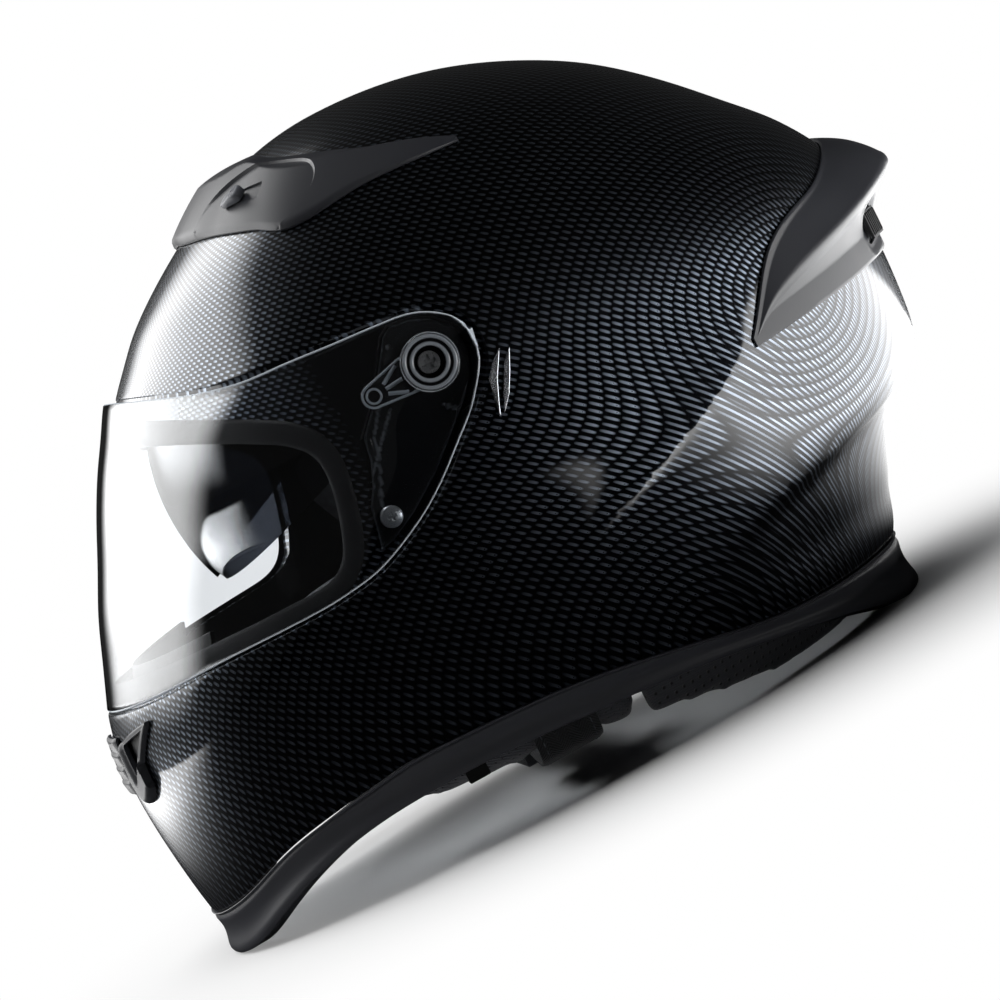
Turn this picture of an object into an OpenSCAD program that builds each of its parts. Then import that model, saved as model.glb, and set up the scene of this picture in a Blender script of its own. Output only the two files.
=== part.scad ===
/* [Shell] */
// Overall width of the shell across the widest place
shell_w = 254; // [244:1:266]
// Height of the crown above the table the helmet stands on
top_z = 254.5; // [248:0.5:262]
// Thickness of the moulded shell
shell_t = 3.5; // [3:0.1:4.5]
// How far the wing crease on the side stands out
crease_h = 2.5; // [0:0.1:4]

/* [Visor] */
// Thickness of the clear visor
visor_t = 2.2; // [1.6:0.1:2.6]
// Gap round the edge of the visor
visor_gap = 1.2; // [0.8:0.1:2.5]
// Depth of the bed that the visor lies in
bed_depth = 4.4; // [4.2:0.1:5.2]
// Height of the visor pivot above the table
pivot_z = 159.6; // [156:0.2:163]
// Distance of the visor pivot in front of the middle
pivot_front = 14.4; // [12:0.2:17]
// Radius of the round hub that the visor turns on
hub_r = 9.8; // [8.5:0.1:11]
// Radial clearance of a turning fit
fit_gap = 0.06; // [0.02:0.01:0.1]
// Radius of the lock lever's small end
lever_end_r = 4.6; // [3.5:0.1:5.5]
// Distance from the pivot to the lock lever's small end
lever_l = 22; // [19:0.2:24]
// Radius of the pivot screw's shank
screw_r = 2.4; // [1.8:0.1:3]
// Radius of the screw heads
screw_head_r = 3.9; // [3.4:0.1:4.4]
// Thickness of the visor base plates
plate_t = 2.4; // [2:0.1:2.8]

/* [Sun visor] */
// How far the sun visor's path stays below the crown's height
sun_drop = 25.5; // [24.5:0.5:28]
// How far the ends of the sun visor lie inside the shell's sides
sun_inset = 29; // [27:0.5:32]
// Thickness of the sun visor
sun_t = 1.8; // [1.4:0.1:2.4]
// Height of the sun visor pivot
sun_pivot_z = 150; // [148:0.5:152]
// Distance of the sun visor pivot in front of the middle
sun_pivot_front = 30; // [28:0.5:32]
// Radius of the sun visor pins
sun_pin_r = 3; // [2.4:0.1:4]

/* [Liners] */
// Depth of the shell and its foam at the sides
side_depth = 34; // [31:0.5:37]
// Half the length of the head cavity in the foam
cavity_half_l = 108; // [104:0.5:110]
// Depth of the shell and its foam at the crown
crown_depth = 38.5; // [35.5:0.5:42.5]
// Thickness of the crown pad
crown_pad_t = 9; // [6:0.5:11]
// Thickness of the cheek pads at their fullest
cheek_t = 26; // [20:0.5:30]
// Thickness of the chin foam
chin_foam_t = 14; // [10:0.5:18]
// Thickness of the neck roll at its fullest
roll_t = 20; // [14:0.5:24]
// Clearance between pieces that lie together
seat_gap = 0.3; // [0.2:0.05:0.5]
// Extra room round the curved foam
foam_gap = 0.7; // [0.6:0.05:0.9]

/* [Trim and vents] */
// Width of the base trim's rolled edge
trim_w = 9; // [7:0.5:12]
// How far the base trim stands proud of the shell
trim_proud = 0.8; // [0.3:0.1:1.5]
// How far the eyeport gasket reaches past the opening
gasket_w = 6; // [5:0.2:6.6]
// Height of the brow vent cover
brow_h = 6; // [4:0.2:8]
// How far the rear spoiler reaches behind the shell
spoiler_reach = 17; // [12:0.5:20]
// Travel of the brow vent sliders
brow_travel = 7; // [4:0.5:8]
// Width of the chin strap webbing
strap_w = 24; // [20:0.5:26]
// Thickness of the chin strap webbing
strap_t = 2; // [1.4:0.1:2.4]

/* [Hidden] */

// The shapes are drawn from the middle of the crown's width; the origin lies on the table, under the
// middle of the whole helmet's length, this far behind it
origin_y = 7.4;
module placed() {
    translate([0, -origin_y, 0])
    children();
}

// The shell is described by the angle up its side: 0 at the widest height, 90 at the crown,
// and below 0 the same arc length per degree runs straight down, to -82 at the table.
mid_z = 150;
half_w = shell_w / 2;
beyond = half_w + 13;
rise = top_z - mid_z;
step_z = 1.824;
squareness = 0.95;
crown_y = 5;
bed_wall = 3.6;
base_wall = 7;

// Pairs of angle and place along Y, front and rear, at the middle of the helmet
front_line = [[-82, -160], [-71, -164.2], [-58, -167], [-47, -168], [-38, -167], [-30, -163.8], [-20, -156.4],
    [-2, -140.2], [6, -131.2], [14, -121.9], [20, -114], [26, -106.8], [32, -98], [39, -87.6], [54, -60],
    [68, -35], [90, crown_y]];
rear_line = [[-82, 108], [-71, 121.8], [-61, 132], [-53, 140.5], [-44.5, 152], [-39.5, 162], [-30, 166],
    [-11, 168], [0, 167.5], [11.6, 156], [22.5, 139], [33.7, 121.5], [44.7, 103], [54.4, 84], [73, 45],
    [90, crown_y]];
widest_line = [[-82, -20], [0, -14], [30, 0], [54, 9], [90, crown_y]];
// Pairs of angle and share of the half width
width_line = [[-82, 0.85], [-71, 0.894], [-58, 0.937], [-41, 0.976], [-22, 1], [0, 1], [8, 0.99],
    [17, 0.96], [28.6, 0.885], [46, 0.715], [63, 0.475], [90, 0]];
// The visor's outer face, in the same terms, with its half width as a step from the shell's
visor_front = [[-40, -166], [-30, -164.2], [-28, -162.6], [-20, -156.4], [-11, -149.4], [-2, -140.8],
    [6.6, -132.8], [14, -125.2], [20.5, -117.7], [27, -110.7], [35, -100]];
visor_step = [[-60, -7], [-45, -3], [-30, -0.7], [-18, 0], [-5, 0.2], [5, 0.2], [12, -0.2], [17, -1.4],
    [22, -4.4], [28, -9.5], [35, -18]];
// Lower edge of the shell, as place along Y and height
seam_line = [[-165, 17.3], [-155, 21], [-135, 30.6], [-115, 35.8], [-96, 39], [-83, 41], [-59, 40.7],
    [-35, 39.5], [-12, 36.7], [23, 30], [46, 25.3], [62, 22.5], [85, 20.4], [103, 19.8], [125, 20]];
// Lower edge of the base trim
hem_line = [[-165, -0.6], [-160, 0.4], [-146, 10], [-133, 17], [-116, 23], [-96, 26.6], [-66, 28], [-42, 27],
    [-18, 25], [7, 22.6], [32, 19], [57, 14], [85, 7.5], [104, 1.2], [112, -0.4], [125, -0.6]];
// Lower edge of the pads
pad_line = [[-110, 26], [-96, 24.5], [-65, 20], [-31, 17], [-8, 13], [12, 9], [38, 3.4], [51, 1.4], [125, 1]];
// Outline of the visor seen from the side: its lower and its upper edge
visor_low = [[-170, 98.6], [-150, 99.2], [-124, 101], [-88, 101.5], [-76, 102.4], [-62, 105], [-43.7, 113],
    [-31, 121], [-18, 131.4], [-9, 139], [-1.7, 147.4], [1.6, 152.6], [2.8, 156.5]];
visor_high = [[-118, 203], [-110.7, 197.6], [-97.6, 191.5], [-87, 187.4], [-73, 184], [-57, 182.7], [-40, 181],
    [-22.7, 179.4], [-13.4, 178], [-6.2, 175], [-0.4, 170.4], [1.8, 166.8], [2.8, 163]];
visor_end = 2.8;
// The eyeport's upper edge is level when the helmet is worn, which tips it forward by this slope
eyeport_low = 106.7;
eyeport_slope = -0.543;
eyeport_high = 121.9;
eyeport_rear = [[-84, 106.7], [-77, 108.2], [-71.5, 112.5], [-68, 120], [-64.5, 131], [-62.3, 142],
    [-62.6, 149], [-65.5, 154.6], [-72, 160.4]];

function at(line, k, i = 0) = i < len(line) - 2 && k > line[i + 1][0] ? at(line, k, i + 1) :
    let(h = line[i + 1][0] - line[i][0], t = (k - line[i][0]) / h)
    line[i][1] * (1 + 2 * t) * pow(1 - t, 2) + line[i + 1][1] * t * t * (3 - 2 * t)
    + h * t * (1 - t) * (slope(line, i) * (1 - t) - slope(line, i + 1) * t);
function slope(line, i) = let(a = max(0, i - 1), b = min(len(line) - 1, i + 1))
    (line[b][1] - line[a][1]) / (line[b][0] - line[a][0]);
function ease(t) = let(c = max(0, min(1, t))) c * c * (3 - 2 * c);
function bump(v, a, b, ramp) = ease((v - a) / ramp) * ease((b - v) / ramp);
function power(v) = sign(v) * pow(abs(v), squareness);
function height(k) = mid_z + (k < 0 ? k * step_z : rise * sin(k));
function level(z) = z < mid_z ? (z - mid_z) / step_z : asin(min(1, (z - mid_z) / rise));
function turn(a) = abs((a + 540) % 360 - 180);

// A point on a ring of given front, rear, widest place and half width, a degrees round from the front
function on_ring(a, k, front, rear, wide) = let(c = at(widest_line, k))
    [wide * power(sin(a)), c + (cos(a) > 0 ? front - c : c - rear) * power(cos(a)), height(k)];
function shell_flat(a, k) = let(drop = 20 * (1 - abs(cos(a))) * bump(k, -80, -20, 25))
    on_ring(a, k, at(front_line, k), at(rear_line, k + drop), half_w * at(width_line, k));
function visor_flat(a, k) =
    on_ring(a, k, at(visor_front, k), at(rear_line, -5), half_w + at(visor_step, k));
function normal(f, a, k) = let(e = 0.6, n = cross(f(a + e, k) - f(a - e, k), f(a, min(k + e, 89.9)) - f(a, k - e)))
    n / norm(n);
function inward(f, a, k, d) = f(a, k) - d * normal(f, a, k);
flat = function(a, k) shell_flat(a, k);
lens = function(a, k) visor_flat(a, k);
function crease(p) = let(s = (p[2] - 56.6 - 0.403 * (p[1] + 39)) * 0.93)
    crease_h * (s > 0 ? exp(-s / 14) : exp(s / 22)) * bump(p[1], -70, 105, 45) * bump(abs(p[0]), 60, 140, 20);
// The wall is thicker under the visor's bed, and most where the visor's base plates are let in
function wall_t(a, k) = shell_t + max(bed_wall * bump(k, -36, 14, 8) * bump(turn(a), -20, 108, 12),
    base_wall * bump(k, -36, 24, 8) * (1 - 0.4 * ease((k - 6) / 10)) * bump(turn(a), 60, 108, 10));
function skin_at(a, k) = inward(flat, a, k, -crease(shell_flat(a, k)));
function under_at(a, k, d) = inward(flat, a, k, wall_t(a, k) + d);
function lens_at(a, k, d) = inward(lens, a, k, d);
// Clear of the wall's thickest place nearby
function liner_at(a, k, d) =
    inward(flat, a, k, max([for (i = [-1, 0, 1], j = [-1, 0, 1]) wall_t(a + 5 * i, k + 6 * j)]) + d);
// How far out along X the shell's inside reaches over a disc of radius r on its side
function wall_x(y, z, r) = min([for (i = [-1, 1], j = [-1, 1])
    under_at(around(y + i * r, level(z + j * r)), level(z + j * r), 0)[0]]);
function seam_k(a) = level(at(seam_line, shell_flat(a, -62)[1]));
function lerp(a, b, t) = a + (b - a) * t;
function flat_list(rows) = [for (r = rows) each r];

// Closed solid between two grids of points; the first is the outer one
module skin(a, b, wrap = false, cap = false) {
    nr = len(a);
    nc = len(a[0]);
    m = nr * nc;
    share = [for (i = [0:nc - 1]) 1 / nc];
    ends = cap ? [share * a[nr - 1], share * b[nr - 1]] : [];
    points = concat(flat_list(a), flat_list(b), ends);
    last = wrap ? nc - 1 : nc - 2;
    tiles = [for (j = [0:nr - 2], i = [0:last]) let(n = (i + 1) % nc, p = j * nc + i, q = j * nc + n)
        each (i < nc / 2 ? [[p, p + nc, q], [q, p + nc, q + nc]] : [[p, p + nc, q + nc], [p, q + nc, q]])];
    top = nr * nc - nc;
    caps = cap ? [for (i = [0:last]) [top + i, 2 * m, top + (i + 1) % nc]] : [];
    back = [for (f = tiles) [f[0] + m, f[2] + m, f[1] + m]];
    back_caps = [for (f = caps) [f[0] + m, f[2] + m, 2 * m + 1]];
    foot = [for (i = [0:last]) let(n = (i + 1) % nc) each [[i, n, m + i], [n, m + n, m + i]]];
    head = cap ? [] : [for (i = [0:last]) let(p = top + i, q = top + (i + 1) % nc)
        each [[p, m + p, q], [q, m + p, m + q]]];
    sides = wrap ? [] : [for (j = [0:nr - 2]) let(p = j * nc, q = p + nc - 1)
        each [[p, m + p, p + nc], [p + nc, m + p, m + p + nc], [q, q + nc, m + q], [q + nc, m + q + nc, m + q]]];
    polyhedron(points, concat(tiles, caps, back, back_caps, foot, head, sides));
}

// Solid swept through closed sections; open at neither end
module sweep(sections, loop = false) {
    ns = len(sections);
    nc = len(sections[0]);
    last = loop ? ns - 1 : ns - 2;
    tiles = [for (j = [0:last], i = [0:nc - 1]) let(m = (j + 1) % ns, n = (i + 1) % nc, p = j * nc + i,
        q = j * nc + n, r = m * nc + i, s = m * nc + n) each [[p, r, q], [q, r, s]]];
    ends = loop ? [] : [[for (i = [0:nc - 1]) i], [for (i = [nc - 1:-1:0]) (ns - 1) * nc + i]];
    polyhedron(flat_list(sections), concat(tiles, ends));
}

module both_sides() {
    children();
    mirror([1, 0, 0])
    children();
}

// Lays a shape drawn as Y and height into the side view, from x1 to x2
module side_plate(x1, x2) {
    translate([x1, 0, 0])
    rotate([90, 0, 90])
    linear_extrude(x2 - x1)
    children();
}

module side_rod(y, z, r, x1, x2) {
    translate([x1, y, z])
    rotate([0, 90, 0])
    cylinder(h = x2 - x1, r = r, $fn = 64);
}

// Angle round the ring at which the shell's middle line reaches a place along Y
function around(y, k, front = front_line) = let(c = at(widest_line, k), f = at(front, k))
    y < c ? acos(pow(min(1, (c - y) / (c - f)), 1 / squareness)) :
    90 + asin(pow((y - c) / (at(rear_line, k) - c), 1 / squareness));

// Puts a shape on a surface point, its own Z pointing out of the surface
module on_surface(f, a, k, d) {
    n = normal(f, a, k);
    translate(inward(f, a, k, d))
    rotate([0, acos(n[2]), atan2(n[1], n[0])])
    children();
}

// The grid of the visor: m mm larger all round, d mm inside the visor's outer face
function edge_z(line, a, m, z, n = 5) = n == 0 ? z : edge_z(line, a, m,
    at(line, min(visor_end, visor_flat(a, level(z))[1] - abs(m))) + m, n - 1);
function visor_turn(m) = let(c = at(widest_line, 4))
    90 + asin(pow((visor_end + m - c) / (at(rear_line, -5) - c), 1 / squareness));
function visor_grid(m, d, nu, nv) = [for (j = [0:nv]) [for (i = [0:nu])
    let(a = visor_turn(m) * sin(90 * (2 * i / nu - 1)))
    lens_at(a, level(lerp(edge_z(visor_low, a, -m, 120), edge_z(visor_high, a, m, 185), j / nv)), d)]];

module eyeport() {
    side_plate(-200, 200)
    polygon(concat([[-220, eyeport_low]], eyeport_rear, [[-220, eyeport_high - 220 * eyeport_slope]]));
}

base_depth = bed_depth + 2;
base_outline = [[-20.8, 178], [-24.6, 175.6], [-31.6, 165.7], [-39.7, 155.2], [-47.5, 147.3], [-49, 139.3],
    [-52.7, 131], [-56.5, 125.3], [-60, 110], [-54, 111.6], [-43.7, 116.5], [-31, 124.5], [-18, 135],
    [-9, 142.6], [-2.6, 150], [0, 158], [-0.5, 166], [-6, 172.5], [-13, 176.4]];
base_screw_y = -51.4;
base_screw_k = level(119);

// A curved slab under the visor's end, between two depths, cut to the base plate's outline
module base_slab(d1, d2, grow) {
    cols = 9;
    rows = 8;
    intersection() {
        skin([for (j = [0:rows]) [for (i = [0:cols]) lens_at(60 + 4.4 * i, level(100 + 10.5 * j), d1)]],
            [for (j = [0:rows]) [for (i = [0:cols]) lens_at(60 + 4.4 * i, level(100 + 10.5 * j), d2)]]);
        side_plate(80, 160)
        offset(delta = grow)
        polygon(base_outline);
    }
}

module screw_holes(r) {
    side_rod(-pivot_front, pivot_z, r, half_w - 37, beyond);
    on_surface(lens, around(base_screw_y, base_screw_k, visor_front), base_screw_k, 16)
    cylinder(h = 20, r = r, $fn = 48);
}

shell_cols = 64;
shell_rows = 21;
shell_top_k = 86;
vent_hole_r = 4;
chin_opening = [[26, 88], [50, 92], [30, 73]];

module front_plate(y1, y2) {
    translate([0, y2, 0])
    rotate([90, 0, 0])
    linear_extrude(y2 - y1)
    children();
}

module outer_shell() {
    turns = [for (i = [0:shell_cols - 1]) 360 * i / shell_cols];
    rows = [for (j = [0:shell_rows]) j / shell_rows];
    color("#15181d")
    difference() {
        skin([for (v = rows) [for (a = turns) skin_at(a, lerp(seam_k(a), shell_top_k, v))]],
            [for (v = rows) [for (a = turns) under_at(a, lerp(seam_k(a), shell_top_k, v), 0)]], true, true);
        skin(visor_grid(visor_gap, -12, 32, 6), visor_grid(visor_gap, bed_depth, 32, 6));
        both_sides() {
            base_slab(-3, base_depth + plate_t + seat_gap, 0.6);
            side_rod(-pivot_front, pivot_z, visor_end + pivot_front + visor_gap + 1, half_w - bed_depth - 0.5,
                beyond);
            screw_holes(screw_r + fit_gap);
            front_plate(-200, -110)
            polygon(chin_opening);
            for (x = [24, 40])
                translate([x, -30, 200])
                rotate([28, 0, 0])
                cylinder(h = 60, r = vent_hole_r, $fn = 48);
            translate([46, 110, 122])
            rotate([-90, 0, 0])
            cylinder(h = 70, r = vent_hole_r, $fn = 48);
        }
        eyeport();
    }
}

slider_y = -69;
slider_x = half_w - 22.5;
slider_size = [3, 8, 15];
slider_travel = 16;
slider_z = 23.5;

function flat_normal(a, k) = let(n = normal(flat, a, k), l = norm([n[0], n[1]])) [n[0] / l, n[1] / l, 0];
function hem_inset(a) = 4 * pow(abs(sin(a)), 2);
function trim_section(a) = let(k = seam_k(a), p = shell_flat(a, k), n = flat_normal(a, k), top = p[2] - seat_gap,
    low = at(hem_line, p[1]), e = hem_inset(a), q = [p[0], p[1], 0])
    [for (s = [[-trim_proud, top], [-trim_proud + 0.6 + e / 2, lerp(top, low, 0.45)], [e - trim_proud, low + 2.2],
        [e + 0.6, low], [e + trim_w - 1.5, low], [e + trim_w, low + 2], [shell_t + trim_w, top]])
        q - s[0] * n + [0, 0, s[1]]];

module base_trim() {
    color("#33353a")
    difference() {
        sweep([for (i = [0:shell_cols - 1]) trim_section(360 * i / shell_cols)], true);
        translate([-200, -200, -20])
        cube([400, 400, 20]);
        translate([slider_x - 0.4, slider_y - 0.5, slider_z - 4])
        cube([slider_size[0] + 0.8, slider_size[1] + slider_travel + 1, slider_size[2] + 14]);
    }
}

// Places round the edge of the eyeport, from the bottom middle to the top middle, as angle and height
function port_z(a, z = 180, n = 5) = n == 0 ? z :
    port_z(a, eyeport_high + eyeport_slope * visor_flat(a, level(z))[1], n - 1);
port_side = concat([for (a = [0:10:50]) [a, eyeport_low]],
    [for (p = eyeport_rear) [around(p[1] > 0 ? p[0] : 0, level(p[1]), visor_front), p[1]]],
    [for (a = [54:-9:0]) [a, port_z(a)]]);
port = concat(port_side, [for (i = [len(port_side) - 2:-1:1]) [-port_side[i][0], port_side[i][1]]]);
degree_l = 2.2;
gasket_seat = bed_depth - seat_gap - 0.4;
function port_out(i, w) = let(n = len(port), p = port[(i + 1) % n], q = port[(i + n - 1) % n],
    t = [(p[0] - q[0]) * degree_l, p[1] - q[1]], u = [t[1], -t[0]] / norm(t))
    port[i] + [u[0] * w / degree_l, u[1] * w];

module eyeport_gasket() {
    color("#0c0d0f")
    sweep([for (i = [0:len(port) - 1]) [for (s = [[-1.5, gasket_seat], [-1.5, visor_t + 1.1],
        [1, visor_t + 0.6], [3.5, visor_t + 0.8], [gasket_w, visor_t + 1.1], [gasket_w, gasket_seat]])
        let(p = port_out(i, s[0])) lens_at(p[0], level(p[1]), s[1])]], true);
}

cavity_y = 14;
cavity_half_w = half_w - side_depth;
cavity_top = top_z - crown_depth;
neck_room = 1.4;
roll_seat = -0.03;
pad_room = 2.1;
function cavity(a, k, d) = let(g = k > 0 ? pow(cos(k), 0.9) : 1 - 0.1 * pow(k / 60, 2))
    [(cavity_half_w - d) * sin(a) * g, cavity_y - (cavity_half_l - d) * cos(a) * g,
    k > 0 ? mid_z + (cavity_top - d - mid_z) * sin(k) : height(k)];
function foam_low(a) = let(b = turn(a)) 22 - 50 * ease((b - 64) / 16) - 22 * ease((b - 112) / 30);

module crown_foam() {
    turns = [for (i = [0:43]) 360 * i / 44];
    rows = [0, 0.05, 0.1, 0.15, 0.2, 0.3, 0.4, 0.5, 0.6, 0.7, 0.8, 0.9, 1];
    color("#2b2d31")
    difference() {
        skin([for (v = rows) [for (a = turns) let(k = lerp(foam_low(a), 84, v))
            liner_at(a, k, foam_gap + neck_room * ease((-30 - k) / 8))]],
            [for (v = rows) [for (a = turns) cavity(a, lerp(foam_low(a), 84, v), 0)]], true, true);
        sun_sweep(1.6, -28, 78);
        both_sides()
        side_rod(-sun_pivot_front, sun_pivot_z, 13, sun_half_w - 5, half_w);
        translate([cable_end[0] - 4, cable_end[1] - 7, 90])
        cube([30, 10, cable_end[2] - 88]);
    }
}

// A pad on the inside of the shell: u runs along it and v up it, and it is fullest in the middle
function fullness(u, v) = 0.22 + 0.78 * pow(sin(180 * u) * sin(180 * v), 0.45);
module pad(a1, a2, cols, rows, low, high, inset, thick) {
    skin([for (j = [0:rows]) [for (i = [0:cols]) let(a = lerp(a1, a2, i / cols), y = shell_flat(a, -60)[1],
        z = lerp(low(y), high(y), j / rows)) liner_at(a, level(z), inset(z, y))]],
        [for (j = [0:rows]) [for (i = [0:cols]) let(a = lerp(a1, a2, i / cols), y = shell_flat(a, -60)[1],
        z = lerp(low(y), high(y), j / rows))
        liner_at(a, level(z), inset(z, y) + thick * fullness(lerp(0.03, 0.97, i / cols), lerp(0.03, 0.97, j / rows)))]]);
}

pad_inset = function(z, y) lerp(trim_w + 6, 6.6, ease((z - at(seam_line, y) - 7) / 13));
pad_low = function(y) at(pad_line, y);

module chin_foam() {
    color("#2b2d31")
    pad(-54, 54, 18, 3, function(y) at(seam_line, y) + 4, function(y) 94, function(z, y) foam_gap,
        chin_foam_t / 0.9);
}

module cheek_pad() {
    color("#16171a")
    pad(58, 96, 14, 10, pad_low, function(y) 97, pad_inset, cheek_t);
}

module cheek_pad_left() {
    cheek_pad();
}

module cheek_pad_right() {
    mirror([1, 0, 0])
    cheek_pad();
}

module neck_roll() {
    color("#16171a")
    pad(98, 262, 30, 5, pad_low, function(y) at(pad_line, y) + 36, function(z, y) trim_w + roll_seat, roll_t);
}

// The foam's cut corner at the temple needs more room
function room(a) = pad_room + 1.3 * bump(turn(a), 56, 94, 12);
function crown_low(a) = let(b = turn(a)) 25 - 40 * ease((b - 60) / 36) - 20 * ease((b - 112) / 30);
module crown_pad() {
    turns = [for (i = [0:35]) 10 * i];
    rows = [for (j = [0:8]) j / 8];
    color("#1c1d21")
    skin([for (v = rows) [for (a = turns) cavity(a, lerp(crown_low(a), 82, v), room(a))]],
        [for (v = rows) [for (a = turns) cavity(a, lerp(crown_low(a), 82, v),
        room(a) + crown_pad_t * (0.35 + 0.65 * pow(sin(20 + 140 * v), 0.5)) * (1 - 0.25 * pow(cos(3 * a), 2)))]],
        true, true);
}

module visor() {
    color("#dfe6ea", 0.4)
    difference() {
        skin(visor_grid(0, 0, 36, 7), visor_grid(0, visor_t, 36, 7));
        both_sides()
        side_rod(-pivot_front, pivot_z, hub_r + fit_gap, half_w - 27, beyond);
    }
}

module visor_base() {
    color("#0a0a0c")
    difference() {
        base_slab(base_depth, base_depth + plate_t, 0);
        screw_holes(screw_r + fit_gap);
    }
}

module visor_base_left() {
    visor_base();
}

module visor_base_right() {
    mirror([1, 0, 0])
    visor_base();
}

// Heights of the stack at the pivot, along X
pivot_x = half_w;
lever_x = pivot_x - base_depth + seat_gap;
lever_t = 1;
well_r = 5.5;
hub_proud = 0.6;
screw_seat = lever_x + 1.6;
screw_head_t = 2.2;

module lock_lever() {
    color("#1d1f23")
    difference() {
        union() {
            side_plate(lever_x, lever_x + lever_t)
            hull() {
                translate([-pivot_front, pivot_z])
                circle(r = hub_r - 1.5, $fn = 64);
                translate([-pivot_front - lever_l, pivot_z - 1.5])
                circle(r = lever_end_r, $fn = 48);
            }
            side_rod(-pivot_front, pivot_z, hub_r, lever_x, pivot_x + hub_proud);
        }
        side_rod(-pivot_front, pivot_z, screw_r + fit_gap, half_w - 37, beyond);
        side_rod(-pivot_front, pivot_z, well_r, screw_seat - seat_gap, beyond);
        side_rod(-pivot_front - lever_l, pivot_z - 1.5, lever_end_r - 2.6, half_w - 37, beyond);
    }
}

module lock_lever_left() {
    lock_lever();
}

module lock_lever_right() {
    mirror([1, 0, 0])
    lock_lever();
}

// A pan head screw pointing along -Z, its head's underside at z = 0
module screw(length) {
    slot = screw_head_r * 0.36;
    difference() {
        union() {
            translate([0, 0, -length])
            cylinder(h = length + 1, r = screw_r, $fn = 48);
            cylinder(h = screw_head_t, r = screw_head_r, $fn = 64);
        }
        for (w = [0, 90])
            rotate([0, 0, w])
            translate([-screw_head_r * 0.62, -slot / 2, screw_head_t - 1.2])
            cube([screw_head_r * 1.24, slot, 3]);
    }
}

module pivot_screws() {
    color("#8d9094")
    both_sides()
    translate([screw_seat, -pivot_front, pivot_z])
    rotate([0, 90, 0])
    screw(6.4);
}

module base_screws() {
    color("#8d9094")
    both_sides()
    on_surface(lens, around(base_screw_y, base_screw_k, visor_front), base_screw_k, base_depth - seat_gap)
    screw(4.2);
}

// The sun visor is a shell of revolution about its pivot; e is the angle above level, looking forward
sun_r = rise - sun_drop;
sun_half_w = half_w - sun_inset;
sun_low = -21;
sun_high = 27;
sun_turn = 45;
sun_bow = 0.77;
function sun_profile(d) = [for (t = [-90:7.5:90]) [(sun_r + d) * pow(cos(t), sun_bow),
    (sun_half_w + d) * sign(t) * pow(abs(sin(t)), sun_bow)]];
module sun_sweep(grow, e1, e2) {
    outer = sun_profile(grow);
    inner = sun_profile(-sun_t - grow);
    translate([0, -sun_pivot_front, sun_pivot_z])
    rotate([0, 90, 0])
    rotate([0, 0, -90 - e2])
    rotate_extrude(angle = e2 - e1, $fn = 128)
    polygon(concat(outer, [for (i = [len(inner) - 1:-1:0]) inner[i]]));
}

nose_r = 24;
module sun_visor() {
    color("#1a1c20", 0.8)
    difference() {
        union() {
            sun_sweep(0, sun_low, sun_high);
            both_sides()
            side_rod(-sun_pivot_front, sun_pivot_z, 8, sun_half_w - sun_t - 1, sun_half_w + 1);
        }
        both_sides()
        side_rod(-sun_pivot_front, sun_pivot_z, sun_pin_r + fit_gap, sun_half_w - 8, half_w);
        translate([0, -60, 110])
        rotate([90, 0, 0])
        cylinder(h = 100, r = nose_r, $fn = 64);
    }
}

module sun_visor_pins() {
    end = wall_x(-sun_pivot_front, sun_pivot_z, sun_pin_r + 3) - seat_gap;
    color("#3a3c40")
    both_sides() {
        side_rod(-sun_pivot_front, sun_pivot_z, sun_pin_r, sun_half_w - sun_t - 2.6, end);
        side_rod(-sun_pivot_front, sun_pivot_z, sun_pin_r + 2, sun_half_w - sun_t - 2.6, sun_half_w - sun_t - 1.3);
        side_rod(-sun_pivot_front, sun_pivot_z, sun_pin_r + 3, end - 2.4, end);
    }
}

module sun_visor_slider() {
    color("#33353a")
    translate([slider_x, slider_y, slider_z])
    cube(slider_size);
}

cable_r = 1.3;
// Its points as depth inside the shell's side, place along Y and height
cable_line = [[21, -57, 40.5], [19.5, -57, 46], [16.8, -56.5, 54], [14.6, -56, 62], [13.4, -55, 70],
    [12.6, -54, 78], [13, -53, 86], [15.4, -52, 93], [18, -51, 100], [19.8, -50, 107], [21.6, -49, 115],
    [23.4, -48, 123], [24.6, -47, 131]];
cable_path = [for (p = cable_line) [half_w - p[0], p[1], p[2]]];
cable_end = cable_path[len(cable_path) - 1];
function ring_at(path, i, r, n) = let(m = len(path), d = path[min(m - 1, i + 1)] - path[max(0, i - 1)],
    t = d / norm(d), u = cross(t, [0, 1, 0]) / norm(cross(t, [0, 1, 0])), v = cross(t, u))
    [for (j = [0:n - 1]) path[i] + r * (cos(360 * j / n) * u + sin(360 * j / n) * v)];
module sun_visor_cable() {
    color("#222222")
    sweep([for (i = [0:len(cable_path) - 1]) ring_at(cable_path, i, cable_r, 8)]);
}

// The brow vent wraps the forehead between these two edges, as turn and angle
brow_low = [[0, 54.4], [32, 52.2], [54, 47.7], [66, 43.4], [86, 44.6], [98, 43.6], [106, 42.8]];
brow_high = [[0, 75], [30, 73.5], [59, 65.6], [81, 57.7], [92, 51.5], [100, 47.4], [106, 43.8]];
brow_end = 106;
brow_slider_turn = 40;
brow_slider_k = 56.5;
brow_slider = [6, 11, 2.6];
brow_pocket = 3;
brow_floor = brow_h - brow_pocket;

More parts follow.
